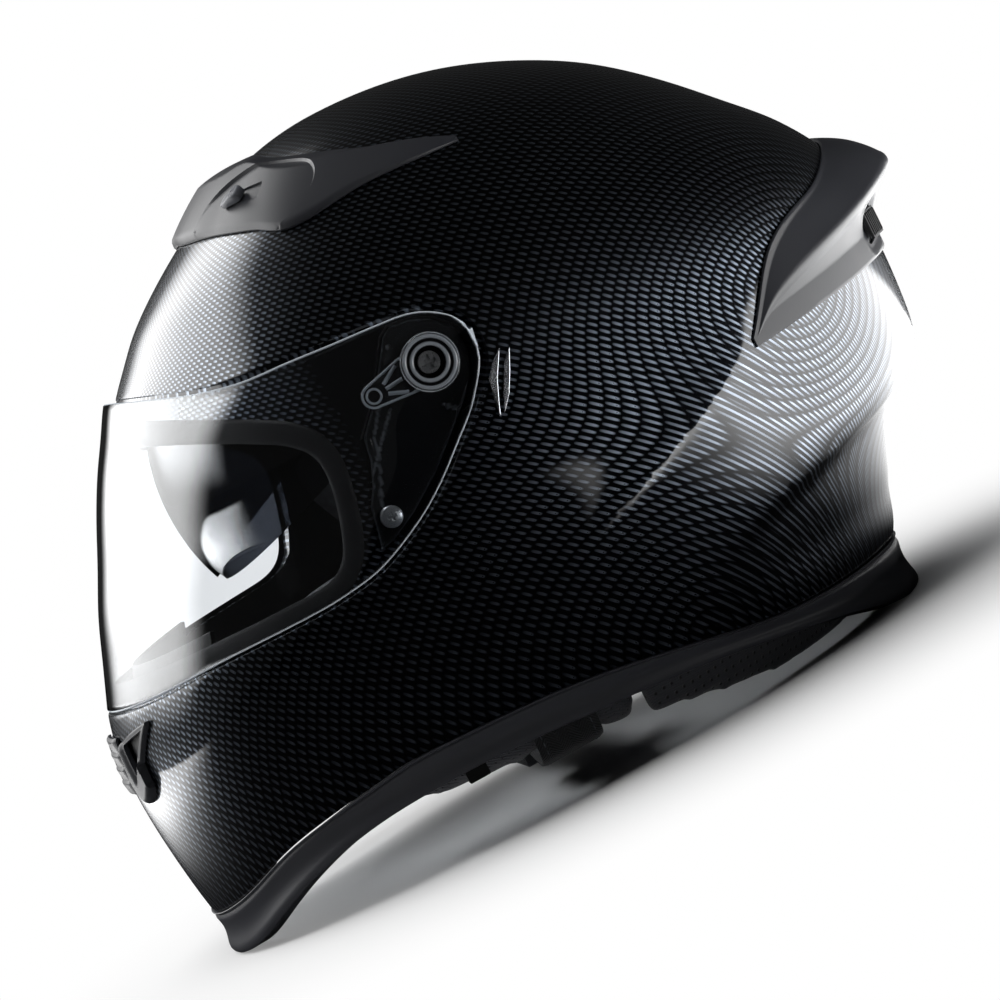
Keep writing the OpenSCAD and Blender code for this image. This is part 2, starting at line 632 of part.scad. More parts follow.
function brow_rise(u, v) = brow_h * pow(sin(10 + 160 * v), 0.6) * (1 - 0.75 * pow(abs(u), 4));
module brow_vent_cover() {
    cols = 28;
    turns = [for (i = [0:cols]) brow_end * (2 * i / cols - 1)];
    rows = [0, 0.12, 0.35, 0.65, 0.9, 1];
    color("#303237")
    difference() {
        skin([for (v = rows) [for (a = turns) let(b = abs(a))
            inward(flat, a, lerp(at(brow_low, b), at(brow_high, b), v), -seat_gap - brow_rise(b / brow_end, v))]],
            [for (v = rows) [for (a = turns) let(b = abs(a))
            inward(flat, a, lerp(at(brow_low, b), at(brow_high, b), v), -seat_gap)]]);
        both_sides()
        on_surface(flat, brow_slider_turn, brow_slider_k, -seat_gap - brow_floor)
        translate([-brow_slider[0] / 2 - 0.3, -0.3, 0])
        cube([brow_slider[0] + 0.6, brow_slider[1] + brow_travel + 0.6, 20]);
    }
}

module brow_slider() {
    color("#26282c")
    on_surface(flat, brow_slider_turn, brow_slider_k, -seat_gap * 2 - brow_floor)
    translate([-brow_slider[0] / 2, 0, 0]) {
        cube(brow_slider);
        translate([brow_slider[0] / 2 - 1, 1, brow_slider[2] - 0.5])
        cube([2, brow_slider[1] - 2, 1.8]);
    }
}

module brow_slider_left() {
    brow_slider();
}

module brow_slider_right() {
    mirror([1, 0, 0])
    brow_slider();
}

// The chin vent on one side is a three-cornered frame, between these edges, as turn and height
chin_vent_low = [[9.5, 78], [11, 68], [13, 64.5], [17.5, 70.8], [23.5, 80.5], [29.5, 89.8]];
chin_vent_high = [[9.5, 88], [18, 91.5], [27, 93.6], [29.5, 93]];
function chin_patch(d) = [for (j = [0:4]) [for (a = [9.5:2.5:29.5])
    let(z = lerp(at(chin_vent_low, a), at(chin_vent_high, a), j / 4))
    inward(flat, a, level(z), d * (d < -1 ? 0.5 + 0.5 * pow(sin(20 + 35 * j), 0.5) : 1))]];
module chin_vent() {
    color("#2c2e32")
    difference() {
        skin(chin_patch(-3.4), chin_patch(-seat_gap));
        front_plate(-200, -100)
        offset(delta = -1)
        polygon(chin_opening);
    }
}

module chin_vent_left() {
    chin_vent();
}

module chin_vent_right() {
    mirror([1, 0, 0])
    chin_vent();
}

module chin_vent_grilles() {
    color("#101114")
    both_sides()
    intersection() {
        skin([for (j = [0:3]) [for (a = [7:3:31]) inward(flat, a, level(70 + 8 * j), 0.6)]],
            [for (j = [0:3]) [for (a = [7:3:31]) inward(flat, a, level(70 + 8 * j), 2)]]);
        front_plate(-200, -100)
        offset(delta = -seat_gap)
        polygon(chin_opening);
    }
}

shutter_low = 69;
shutter_high = 90;
shutter_turn = 6.5;
shutter_gap = 0.7;
module chin_shutter() {
    zs = [for (i = [0:12]) lerp(shutter_low, shutter_high, i / 12)];
    turns = [for (i = [-3:3]) shutter_turn * i / 3];
    color("#2c2e32")
    skin([for (i = [0:12]) [for (a = turns) inward(flat, a, level(zs[i]), -shutter_gap - (i % 3 == 0 ? 1.2 : 2.6))]],
        [for (i = [0:12]) [for (a = turns) inward(flat, a, level(zs[i]), -shutter_gap)]]);
}

// The spoiler's lower edge, ridge, upper edge and reach, each against the turn
spoiler_low = [[125, -22.6], [140, -21.6], [160, -20.2], [180, -19.7]];
spoiler_ridge = [[125, -21.6], [130, -16.4], [150, -10.5], [168, -6.4], [180, -5.9]];
spoiler_high = [[125, -20.6], [134, -6.6], [150, -1], [163, 3], [180, 5.5]];
spoiler_out = [[125, 0.06], [135, 0.24], [150, 0.45], [163, 0.72], [175, 0.97], [180, 1]];
spoiler_start = 125;
slot_turn = 163;
slot_k = -14;
slot_size = [11, 22, 30];

module rear_spoiler() {
    cols = 24;
    turns = [for (i = [0:cols]) lerp(spoiler_start, 360 - spoiler_start, i / cols)];
    steps = [[0, 0.07, 0], [0.45, 0.12, 0], [0.85, 0.55, 1], [1, 0.9, 1], [1.12, 1, 1], [1.5, 0.62, 1], [2, 0.06, 1]];
    color("#303237")
    difference() {
        skin([for (s = steps) [for (a = turns) let(b = turn(a), low = at(spoiler_low, b), mid = at(spoiler_ridge, b),
            high = at(spoiler_high, b), k = s[0] < 1 ? lerp(low, mid, s[0]) : lerp(mid, high, s[0] - 1))
            inward(flat, a, k, -seat_gap - max(1.2, spoiler_reach * at(spoiler_out, b) * s[1]))]],
            [for (s = steps) [for (a = turns) let(b = turn(a), low = at(spoiler_low, b), mid = at(spoiler_ridge, b),
            high = at(spoiler_high, b), k = s[0] < 1 ? lerp(low, mid, s[0]) : lerp(mid, high, s[0] - 1))
            inward(flat, a, k, -seat_gap)]]);
        both_sides()
        on_surface(flat, slot_turn, slot_k, -1.6)
        translate([-slot_size[0] / 2, -slot_size[1] / 2, 0])
        cube(slot_size);
    }
}

module exhaust_grilles() {
    size = [slot_size[0] - 0.6, slot_size[1] - 0.6, 1.2];
    color("#101114")
    both_sides()
    on_surface(flat, slot_turn, slot_k, -1.9)
    translate([-size[0] / 2, -size[1] / 2, 0])
    cube(size);
}

accent_front = [[9.2, 152.7], [4.6, 149.4], [0.4, 144.6], [-1.1, 138], [-2.1, 131.2], [0.6, 137.5], [3.4, 143.6]];
accent_rear = [[12.4, 151.4], [8.3, 147.6], [5.2, 142.5], [2.2, 137], [-0.3, 131.7], [4.6, 137.2], [8.6, 144]];
accent_t = 1.2;
module side_accents() {
    zs = [for (j = [0:3]) 128 + 9 * j];
    turns = [for (i = [0:3]) 88 + 6 * i];
    color("#a9adb3")
    both_sides()
    for (outline = [accent_front, accent_rear])
        intersection() {
            skin([for (z = zs) [for (a = turns) inward(flat, a, level(z), -seat_gap - accent_t)]],
                [for (z = zs) [for (a = turns) inward(flat, a, level(z), -seat_gap)]]);
            side_plate(100, 160)
            polygon(outline);
        }
}

strap_y = -30;
strap_z = 65.5;
// The buckle lies along X under the left strap's end
buckle_inset = 114;
buckle_x = half_w - buckle_inset;
buckle_l = 52;
buckle_w = 28;
buckle_z = 14;
// The strap's middle line below its anchor, as depth inside the shell's side and height
strap_hang = [[10.8, 69], [11.1, 62], [12.2, 55], [15, 50], [19.6, 46.5], [24, 43], [26, 37.5], [26.6, 30],
    [27.6, 22], [31.2, 17.2], [40, 15]];
strap_top = [for (p = strap_hang) [half_w - p[0], p[1]]];
// From there it runs across to the buckle on the left, and to the toothed tongue on the right
strap_low = [15.2, 17, 18.5, 19.3, 19.5];
strap_line = concat(strap_top, [[buckle_x + buckle_l + 11, 16.8], [buckle_x + buckle_l + 0.3, buckle_z + 5.7]]);
strap_side = concat(strap_top, [for (i = [0:4])
    [lerp(strap_top[10][0], 5 - buckle_x, (i + 1) / 5), strap_low[i]]]);
function strap_section(line, i, side) = let(m = len(line), d = line[min(m - 1, i + 1)] - line[max(0, i - 1)],
    n = [-d[1], d[0]] / norm(d) * strap_t / 2, p = line[i])
    [for (c = [[1, 1], [1, -1], [-1, -1], [-1, 1]])
    [side * (p[0] + c[0] * n[0]), strap_y + c[1] * strap_w / 2, p[1] + c[0] * n[1]]];

module strap(line) {
    difference() {
        sweep([for (i = [0:len(line) - 1]) strap_section(line, i, 1)]);
        side_rod(strap_y, strap_z, 3 + seat_gap, half_w - 27, half_w);
    }
}

module strap_left() {
    color("#17181b")
    strap(strap_line);
}

module strap_right() {
    color("#17181b")
    mirror([1, 0, 0])
    strap(strap_side);
}

anchor_inset = 13.2;
module strap_anchors() {
    end = wall_x(strap_y, strap_z, 3) - seat_gap;
    color("#8d9094")
    both_sides() {
        side_rod(strap_y, strap_z, 3, half_w - anchor_inset, end);
        side_rod(strap_y, strap_z, 5.2, half_w - anchor_inset, half_w - anchor_inset + 0.8);
    }
}

pin_r = 1.5;
module buckle_body() {
    color("#8d9094")
    difference() {
        translate([buckle_x, strap_y - buckle_w / 2, buckle_z])
        cube([buckle_l, buckle_w, 13]);
        translate([buckle_x - 1, strap_y - buckle_w / 2 + 1.8, buckle_z + 2])
        cube([buckle_l - 3, buckle_w - 3.6, 12]);
        translate([buckle_x + 12, strap_y + 20, buckle_z + 10])
        rotate([90, 0, 0])
        cylinder(h = 40, r = pin_r + fit_gap, $fn = 48);
    }
}

module buckle_pin() {
    color("#8d9094")
    translate([buckle_x + 12, strap_y + buckle_w / 2 + 0.4, buckle_z + 10])
    rotate([90, 0, 0])
    cylinder(h = buckle_w + 0.8, r = pin_r, $fn = 48);
}

module buckle_lever() {
    x = buckle_x + 12;
    color("#b3202a")
    difference() {
        union() {
            translate([x, strap_y + buckle_w / 2 - 2.2, buckle_z + 10])
            rotate([90, 0, 0])
            cylinder(h = buckle_w - 4.4, r = 2.9, $fn = 64);
            translate([x, strap_y - buckle_w / 2 + 2.2, buckle_z + 9])
            cube([buckle_l - 18, buckle_w - 4.4, 2]);
        }
        translate([x, strap_y + 20, buckle_z + 10])
        rotate([90, 0, 0])
        cylinder(h = 40, r = pin_r + fit_gap, $fn = 48);
    }
}

module buckle_tongue() {
    teeth = 9;
    pitch = 3;
    color("#26282c")
    translate([buckle_x - 21, strap_y - 9, buckle_z + 2 + seat_gap]) {
        cube([50, 18, 1.8]);
        for (i = [0:teeth - 1])
            translate([18 + pitch * i, 0, 1.6])
            cube([1.4, 18, 1.2]);
    }
}

guard_turn = 38;
guard_low = 94.6;
guard_high = 114;
module breath_guard() {
    turns = [for (i = [-8:8]) guard_turn * i / 8];
    zs = [for (i = [0:3]) lerp(guard_low, guard_high, i / 3)];
    color("#1b1c20")
    skin([for (z = zs) [for (a = turns) under_at(a, level(z), 3)]],
        [for (z = zs) [for (a = turns) under_at(a, level(z), 5.2)]]);
}

placed() outer_shell();
placed() base_trim();
placed() eyeport_gasket();
placed() crown_foam();
placed() chin_foam();
placed() crown_pad();
placed() cheek_pad_left();
placed() cheek_pad_right();
placed() neck_roll();
placed() visor();
placed() visor_base_left();
placed() visor_base_right();
placed() lock_lever_left();
placed() lock_lever_right();
placed() pivot_screws();
placed() base_screws();
placed() sun_visor();
placed() sun_visor_pins();
placed() sun_visor_slider();
placed() sun_visor_cable();
placed() brow_vent_cover();
placed() brow_slider_left();
placed() brow_slider_right();
placed() chin_vent_left();
placed() chin_vent_right();
placed() chin_vent_grilles();
placed() chin_shutter();
placed() rear_spoiler();
placed() exhaust_grilles();
placed() side_accents();
placed() strap_left();
placed() strap_right();
placed() strap_anchors();
placed() buckle_body();
placed() buckle_pin();
placed() buckle_lever();
placed() buckle_tongue();
placed() breath_guard();
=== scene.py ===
import math

import bmesh
import bpy
import numpy as np
from mathutils import Matrix, Vector


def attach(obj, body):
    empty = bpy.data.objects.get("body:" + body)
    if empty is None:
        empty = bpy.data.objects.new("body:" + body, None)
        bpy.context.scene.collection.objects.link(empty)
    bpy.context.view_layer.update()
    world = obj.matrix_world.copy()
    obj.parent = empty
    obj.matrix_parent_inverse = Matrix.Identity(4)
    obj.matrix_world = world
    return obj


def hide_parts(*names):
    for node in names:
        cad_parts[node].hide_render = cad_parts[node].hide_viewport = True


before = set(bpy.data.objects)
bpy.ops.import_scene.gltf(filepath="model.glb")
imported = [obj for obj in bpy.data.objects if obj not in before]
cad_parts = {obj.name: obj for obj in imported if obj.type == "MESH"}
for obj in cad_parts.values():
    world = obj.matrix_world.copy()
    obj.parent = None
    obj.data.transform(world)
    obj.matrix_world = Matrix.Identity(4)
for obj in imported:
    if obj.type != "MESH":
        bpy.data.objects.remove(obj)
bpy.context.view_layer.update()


def addObject(name, data):
    made = bpy.data.objects.new(name, data)
    bpy.context.scene.collection.objects.link(made)
    return made


# Camera at the photograph's viewing angle
view = {"place": (1.9805, -0.2520, 0.2308), "aim": (0, -0.0074, 0.098), "up": (0, 0.477, 0.879), "lens": 196.6,
    "sensor": 36, "near": 0.05, "far": 50}
camera = addObject("camera", bpy.data.cameras.new("camera"))
back = (Vector(view["place"]) - Vector(view["aim"])).normalized()
right = Vector(view["up"]).cross(back).normalized()
turned = Matrix([right, back.cross(right), back]).transposed().to_4x4()
camera.matrix_world = Matrix.Translation(view["place"]) @ turned
camera.data.lens = view["lens"]
camera.data.sensor_width = view["sensor"]
camera.data.clip_start, camera.data.clip_end = view["near"], view["far"]
bpy.context.scene.camera = camera
bpy.context.scene.view_settings.view_transform = "Standard"
print("camera set")

# The helmet's own sizes in millimetres, and angles in degrees, as its construction has them
helmet = {
    "halfWidth": 127, "middle": 150, "rise": 104.5, "stepZ": 1.824, "squareness": 0.95, "originY": 7.4,
    "wall": 3.5, "bedWall": 3.6, "baseWall": 7, "creaseHeight": 2.5, "seatGap": 0.3, "fitGap": 0.06,
    "visorWall": 2.2, "visorGap": 1.2, "bedDepth": 4.4, "visorEnd": 2.8, "plateDepth": 6.4, "plateWall": 2.4,
    "pivot": (-14.4, 159.6), "hubRadius": 9.8, "hubWell": 19.4, "trimWidth": 9, "trimProud": 0.8,
    "sideDrop": 20, "lowest": -60, "rearEnd": 125,
}
sides = {"left": 1, "right": -1}

# Pairs of angle up the side and place along Y, at the helmet's middle, front and rear
frontLine = [[-82, -160], [-71, -164.2], [-58, -167], [-47, -168], [-38, -167], [-30, -163.8], [-20, -156.4],
    [-2, -140.2], [6, -131.2], [14, -121.9], [20, -114], [26, -106.8], [32, -98], [39, -87.6], [54, -60],
    [68, -35], [90, 5]]
rearLine = [[-82, 108], [-71, 121.8], [-61, 132], [-53, 140.5], [-44.5, 152], [-39.5, 162], [-30, 166],
    [-11, 168], [0, 167.5], [11.6, 156], [22.5, 139], [33.7, 121.5], [44.7, 103], [54.4, 84], [73, 45], [90, 5]]
widestLine = [[-82, -20], [0, -14], [30, 0], [54, 9], [90, 5]]
widthLine = [[-82, 0.85], [-71, 0.894], [-58, 0.937], [-41, 0.976], [-22, 1], [0, 1], [8, 0.99],
    [17, 0.96], [28.6, 0.885], [46, 0.715], [63, 0.475], [90, 0]]
visorFront = [[-40, -166], [-30, -164.2], [-28, -162.6], [-20, -156.4], [-11, -149.4], [-2, -140.8],
    [6.6, -132.8], [14, -125.2], [20.5, -117.7], [27, -110.7], [35, -100]]
visorStep = [[-60, -7], [-45, -3], [-30, -0.7], [-18, 0], [-5, 0.2], [5, 0.2], [12, -0.2], [17, -1.4],
    [22, -4.4], [28, -9.5], [35, -18]]
# Edges as place along Y and height
seamLine = [[-165, 17.3], [-155, 21], [-135, 30.6], [-115, 35.8], [-96, 39], [-83, 41], [-59, 40.7],
    [-35, 39.5], [-12, 36.7], [23, 30], [46, 25.3], [62, 22.5], [85, 20.4], [103, 19.8], [125, 20]]
hemLine = [[-165, -0.6], [-160, 0.4], [-146, 10], [-133, 17], [-116, 23], [-96, 26.6], [-66, 28], [-42, 27],
    [-18, 25], [7, 22.6], [32, 19], [57, 14], [85, 7.5], [104, 1.2], [112, -0.4], [125, -0.6]]
padLine = [[-110, 26], [-96, 24.5], [-65, 20], [-31, 17], [-8, 13], [12, 9], [38, 3.4], [51, 1.4], [125, 1]]
visorLow = [[-170, 98.6], [-150, 99.2], [-124, 101], [-88, 101.5], [-76, 102.4], [-62, 105], [-43.7, 113],
    [-31, 121], [-18, 131.4], [-9, 139], [-1.7, 147.4], [1.6, 152.6], [2.8, 156.5]]
visorHigh = [[-118, 203], [-110.7, 197.6], [-97.6, 191.5], [-87, 187.4], [-73, 184], [-57, 182.7], [-40, 181],
    [-22.7, 179.4], [-13.4, 178], [-6.2, 175], [-0.4, 170.4], [1.8, 166.8], [2.8, 163]]
eyeport = {"low": 106.7, "high": 121.9, "slope": -0.543, "rear": [[-84, 106.7], [-77, 108.2], [-71.5, 112.5],
    [-68, 120], [-64.5, 131], [-62.3, 142], [-62.6, 149], [-65.5, 154.6], [-72, 160.4]]}


def ease(t):
    c = np.clip(t, 0, 1)
    return c * c * (3 - 2 * c)


def bump(v, a, b, ramp):
    return ease((v - a) / ramp) * ease((b - v) / ramp)


def lerp(a, b, t):
    return a + (b - a) * t


def quarter(t):  # height lost by a quarter round, none at 0 and all at 1
    return 1 - np.sqrt(1 - np.clip(t, 0, 1) ** 2)


def along(line, k):  # smooth curve through a line's points
    x, y = np.array(line, float).T
    last = len(x) - 1
    before = np.maximum(np.arange(last + 1) - 1, 0)
    after = np.minimum(np.arange(last + 1) + 1, last)
    slope = (y[after] - y[before]) / (x[after] - x[before])
    k = np.asarray(k, float)
    i = np.clip(np.searchsorted(x, k, side="left") - 1, 0, last - 1)
    h = x[i + 1] - x[i]
    t = (k - x[i]) / h
    return (y[i] * (1 + 2 * t) * (1 - t) ** 2 + y[i + 1] * t * t * (3 - 2 * t)
        + h * t * (1 - t) * (slope[i] * (1 - t) - slope[i + 1] * t))


def evened(line, blur=1.3, step=0.2):  # the same curve with its kinks in curvature ironed out
    first, last = line[0][0], line[-1][0]
    x = np.arange(first - 6 * blur, last + 6 * blur, step)
    ends = [along(line, e) for e in (first, first + step, last - step, last)]
    y = along(line, np.clip(x, first, last)) + np.minimum(x - first, 0) * (ends[1] - ends[0]) / step
    y = y + np.maximum(x - last, 0) * (ends[3] - ends[2]) / step
    reach = np.arange(-3 * blur, 3 * blur + step, step)
    weight = np.exp(-0.5 * (reach / blur) ** 2)
    soft = np.convolve(y, weight / weight.sum(), mode="same")
    keep = (x > first - 3 * blur) & (x < last + 3 * blur)
    return lambda k: np.interp(k, x[keep], soft[keep])


frontAt, rearAt, widestAt, widthAt = (evened(line) for line in (frontLine, rearLine, widestLine, widthLine))
visorFrontAt, visorStepAt = evened(visorFront), evened(visorStep)
seamAt, hemAt = evened(seamLine, 4, 0.5), evened(hemLine, 4, 0.5)


def height(k):
    dome = helmet["rise"] * np.sin(np.radians(np.clip(k, 0, 90)))
    return helmet["middle"] + np.where(k < 0, k * helmet["stepZ"], dome)


def level(z):
    z = np.asarray(z, float)
    over = (z - helmet["middle"]) / helmet["rise"]
    dome = np.degrees(np.arcsin(np.clip(over, 0, 1)))
    return np.where(over < 0, (z - helmet["middle"]) / helmet["stepZ"], dome)


def turn(a):
    return np.abs((np.asarray(a) + 540) % 360 - 180)


def power(v):
    return np.sign(v) * np.abs(v) ** helmet["squareness"]


def onRing(a, k, front, rear, wide):
    centre = widestAt(k)
    c, s = np.cos(np.radians(a)), np.sin(np.radians(a))
    y = centre + np.where(c > 0, front - centre, centre - rear) * power(c)
    return np.stack(np.broadcast_arrays(wide * power(s), y, height(k)), -1)


def shellFace(a, k):
    drop = helmet["sideDrop"] * (1 - np.abs(np.cos(np.radians(a)))) * bump(k, -80, -20, 25)
    return onRing(a, k, frontAt(k), rearAt(k + drop), helmet["halfWidth"] * widthAt(k))


def lensFace(a, k):
    return onRing(a, k, visorFrontAt(k), rearAt(-5.0), helmet["halfWidth"] + visorStepAt(k))


def normalOf(face, a, k, e=0.6):
    n = np.cross(face(a + e, k) - face(a - e, k), face(a, np.minimum(k + e, 89.9)) - face(a, k - e))
    return n / np.maximum(np.linalg.norm(n, axis=-1, keepdims=True), 1e-9)


def inset(face, a, k, d):  # the point d inside a face; a negative d lies outside it
    a, k = np.broadcast_arrays(np.asarray(a, float), np.asarray(k, float))
    return face(a, k) - np.asarray(d, float)[..., None] * normalOf(face, a, k)


def around(y, k, front=frontAt):  # turn at which the middle line of a face reaches a place along Y
    c, f, r = widestAt(k), front(k), rearAt(k)
    ahead = np.degrees(np.arccos(np.clip((c - y) / (c - f), 0, 1) ** (1 / helmet["squareness"])))
    behind = 90 + np.degrees(np.arcsin(np.clip((y - c) / (r - c), 0, 1) ** (1 / helmet["squareness"])))
    return np.where(y < c, ahead, behind)


def edgeDistance(outline):  # signed distance to a closed outline, negative inside
    p = np.array(outline, float)
    d = np.roll(p, -1, 0) - p
    size = np.maximum((d ** 2).sum(1), 1e-12)

    def distance(y, z):
        w = np.stack([np.ravel(y), np.ravel(z)], 1)
        best = np.full(len(w), 1e18)
        inside = np.zeros(len(w), bool)
        for i in range(len(d)):
            t = np.clip(((w - p[i]) @ d[i]) / size[i], 0, 1)
            best = np.minimum(best, ((w - p[i] - t[:, None] * d[i]) ** 2).sum(1))
            end = p[i] + d[i]
            crosses = (p[i, 1] > w[:, 1]) != (end[1] > w[:, 1])
            climb = d[i, 1] if d[i, 1] != 0 else 1e-12
            inside ^= crosses & (w[:, 0] < p[i, 0] + (w[:, 1] - p[i, 1]) * d[i, 0] / climb)
        return (np.sqrt(best) * np.where(inside, -1, 1)).reshape(np.shape(y))
    return distance


def lineDistance(points, y, z):  # distance to an open line
    p = np.array(points, float)
    best = np.full(np.shape(y), 1e18)
    for a, b in zip(p[:-1], p[1:]):
        d = b - a
        t = np.clip(((y - a[0]) * d[0] + (z - a[1]) * d[1]) / (d @ d), 0, 1)
        best = np.minimum(best, np.hypot(y - a[0] - t * d[0], z - a[1] - t * d[1]))
    return best


def aboveLine(line):  # signed distance to an open line, positive above it
    y, z = np.array(line, float).T
    slopes = np.diff(z) / np.diff(y)

    def above(py, pz):
        lean = np.arctan(np.interp(py, (y[1:] + y[:-1]) / 2, slopes))
        return (pz - np.interp(py, y, z)) * np.cos(lean)
    return above


def fromPivot(y, z):  # distance from the line that the visor turns about
    return np.hypot(y - helmet["pivot"][0], z - helmet["pivot"][1])


def placed(points):  # from the drawing's millimetres to the frame's metres
    return (np.asarray(points, float) - [0, helmet["originY"], 0]) * 0.001


def smooth(data, sharp=None):  # smooth faces, and sharp edges from an angle on
    data.polygons.foreach_set("use_smooth", [True] * len(data.polygons))
    if sharp:
        data.set_sharp_from_angle(angle=math.radians(sharp))


def mesh(name, points, faces, sharp=None, layers=None):  # points in millimetres
    data = bpy.data.meshes.new(name)
    data.from_pydata(placed(points).tolist(), [], [list(map(int, f)) for f in faces])
    data.validate()
    for label, values in (layers or {}).items():
        values = np.asarray(values, np.float32)
        single = values.ndim == 1
        made = data.attributes.new(label, "FLOAT" if single else "FLOAT_VECTOR", "POINT")
        made.data.foreach_set("value" if single else "vector", values.ravel())
    smooth(data, sharp)
    return addObject(name, data)


def turnedOut(piece):  # normals made to point outwards
    work = bmesh.new()
    work.from_mesh(piece.data)
    bmesh.ops.recalc_face_normals(work, faces=work.faces)
    work.to_mesh(piece.data)
    work.free()
    return piece


def dress(piece, body, replaces, material=None):
    if material:
        piece.data.materials.clear()
        piece.data.materials.append(material)
    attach(piece, body)
    if replaces:
        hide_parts(*replaces)
    print(piece.name, len(piece.data.polygons), "faces")
    return piece


# A sheet is a half helmet's patch of triangles, its points as turn and angle
def halfSheet(turns, lowK, highK, shares, pole=False, face=shellFace):
    shares = np.linspace(0, 1, shares + 1) if np.isscalar(shares) else np.asarray(shares)
    rows, cols = len(shares) - 1, len(turns)
    lowK, highK = np.broadcast_to(lowK, cols), np.broadcast_to(highK, cols)
    k = lowK[None, :] + (highK - lowK)[None, :] * shares[:, None]
    points = np.stack([np.repeat(np.asarray(turns, float)[None, :], rows + 1, 0).ravel(), k.ravel()], 1)
    tiles = []
    for j in range(rows):
        for i in range(cols - 1):
            p, q, r, s = j * cols + i, j * cols + i + 1, (j + 1) * cols + i, (j + 1) * cols + i + 1
            tiles += [(p, q, s), (p, s, r)] if (i + j) % 2 else [(p, q, r), (q, s, r)]
    if pole:
        tiles += [(rows * cols + i, rows * cols + i + 1, len(points)) for i in range(cols - 1)]
        points = np.vstack([points, [90, 90]])
    return {"p": points, "t": np.array(tiles), "face": face, "held": np.zeros(len(points), bool)}


def cutAlong(sheet, value, snap=0.2):  # puts points and edges where value is zero
    p, t, held = sheet["p"], sheet["t"], sheet["held"]
    g = value(p)
    edges = np.sort(np.vstack([t[:, [0, 1]], t[:, [1, 2]], t[:, [2, 0]]]), 1)
    edges, uses = np.unique(edges, axis=0, return_counts=True)
    border = np.zeros(len(p), bool)
    border[edges[uses == 1].ravel()] = True

    def crossing(e):
        lo, hi = p[e[:, 0]].copy(), p[e[:, 1]].copy()
        gLo, gHi = g[e[:, 0]].copy(), g[e[:, 1]].copy()
        for _ in range(5):
            mid = lo + (hi - lo) * np.clip(gLo / (gLo - gHi), 0.03, 0.97)[:, None]
            gMid = value(mid)
            low = np.sign(gMid) == np.sign(gLo)
            lo[low], gLo[low] = mid[low], gMid[low]
            hi[~low], gHi[~low] = mid[~low], gMid[~low]
        return lo + (hi - lo) * np.clip(gLo / (gLo - gHi + 1e-12), 0, 1)[:, None]

    cross = edges[(g[edges[:, 0]] * g[edges[:, 1]]) < 0]
    if not len(cross):
        return
    at = crossing(cross)
    length = np.linalg.norm(p[cross[:, 1]] - p[cross[:, 0]], axis=1)
    for end in (0, 1):  # points close to the line move onto it
        share = np.linalg.norm(at - p[cross[:, end]], axis=1) / length
        for n in np.argsort(share):
            i = cross[n, end]
            if share[n] > snap:
                break
            if g[i] != 0 and not border[i] and not held[i]:
                p[i], g[i] = at[n], 0
    held |= g == 0
    cross = edges[(g[edges[:, 0]] * g[edges[:, 1]]) < 0]
    at = crossing(cross)
    number = {tuple(e): len(p) + n for n, e in enumerate(cross)}
    sign = np.sign(g[t])
    mixed = (sign.min(1) < 0) & (sign.max(1) > 0)
    made = []
    for tri in t[mixed]:  # the other triangles on the line are split
        s = np.sign(g[tri])
        if (s == 0).any():
            a, b, c = np.roll(tri, -int(np.argmax(s == 0)))
            m = number[(min(b, c), max(b, c))]
            made += [(a, b, m), (a, m, c)]
        else:
            a, b, c = np.roll(tri, -int(np.argmax(s * np.sign(s.sum()) < 0)))
            m, n = number[(min(a, b), max(a, b))], number[(min(a, c), max(a, c))]
            made += [(a, m, n), (m, b, c), (m, c, n)]
    sheet["p"] = np.vstack([p, at])
    sheet["t"] = np.vstack([t[~mixed], np.array(made)])
    sheet["held"] = np.concatenate([held, np.ones(len(at), bool)])


def cutLevels(sheet, value, levels, snap=0.2):
    for edge in levels:
        cutAlong(sheet, lambda p: value(p) - edge, snap)


def seenFromSide(sheet, distance):  # a distance in the side view, for the sheet's points
    return lambda p: distance(*sheet["face"](*p.T)[:, 1:].T)


def closedSheet(name, sheet, keep, outer, inner, layers=None, sharp=36):
    # Both halves of a sheet as one solid, with a wall round each border
    t = sheet["t"][keep]
    used = np.unique(t)
    renumber = np.full(len(sheet["p"]), -1)
    renumber[used] = np.arange(len(used))
    t = renumber[t]
    o, n = outer[used].copy(), inner[used].copy()
    middle = np.abs(o[:, 0]) < 1e-6
    o[middle, 0] = n[middle, 0] = 0
    count, away = len(used), ~middle
    twin = np.where(middle, np.arange(count), count + np.cumsum(away) - 1)
    o = np.vstack([o, o[away] * [-1, 1, 1]])
    n = np.vstack([n, n[away] * [-1, 1, 1]])
    t = np.vstack([t, twin[t][:, ::-1]])
    total = len(o)
    edges = np.vstack([t[:, [0, 1]], t[:, [1, 2]], t[:, [2, 0]]])
    _, first, uses = np.unique(np.sort(edges, 1), axis=0, return_index=True, return_counts=True)
    rim = edges[first[uses == 1]]
    walls = np.vstack([np.stack([rim[:, 1], rim[:, 0], rim[:, 0] + total], 1),
        np.stack([rim[:, 1], rim[:, 0] + total, rim[:, 1] + total], 1)])
    made = {}
    for label, values in (layers or {}).items():
        v = np.concatenate([values[used], values[used][away]])
        made[label] = np.concatenate([v, v])
    return mesh(name, np.vstack([o, n]), np.vstack([t, t[:, ::-1] + total, walls]), sharp, made)


def ringFaces(ns, nc, start=0, closed=False):  # quads between ns rings of nc points
    faces = []
    for j in range(ns if closed else ns - 1):
        for i in range(nc):
            a, b = start + j * nc, start + ((j + 1) % ns) * nc
            faces.append((a + i, a + (i + 1) % nc, b + (i + 1) % nc, b + i))
    if not closed:
        faces += [tuple(start + i for i in range(nc - 1, -1, -1)),
            tuple(start + (ns - 1) * nc + i for i in range(nc))]
    return faces


def swept(name, sections, loop=True, sharp=36, layers=None):  # a solid through closed sections
    sections = np.asarray(sections, float)
    faces = ringFaces(*sections.shape[:2], closed=loop)
    return turnedOut(mesh(name, sections.reshape(-1, 3), faces, sharp, layers))


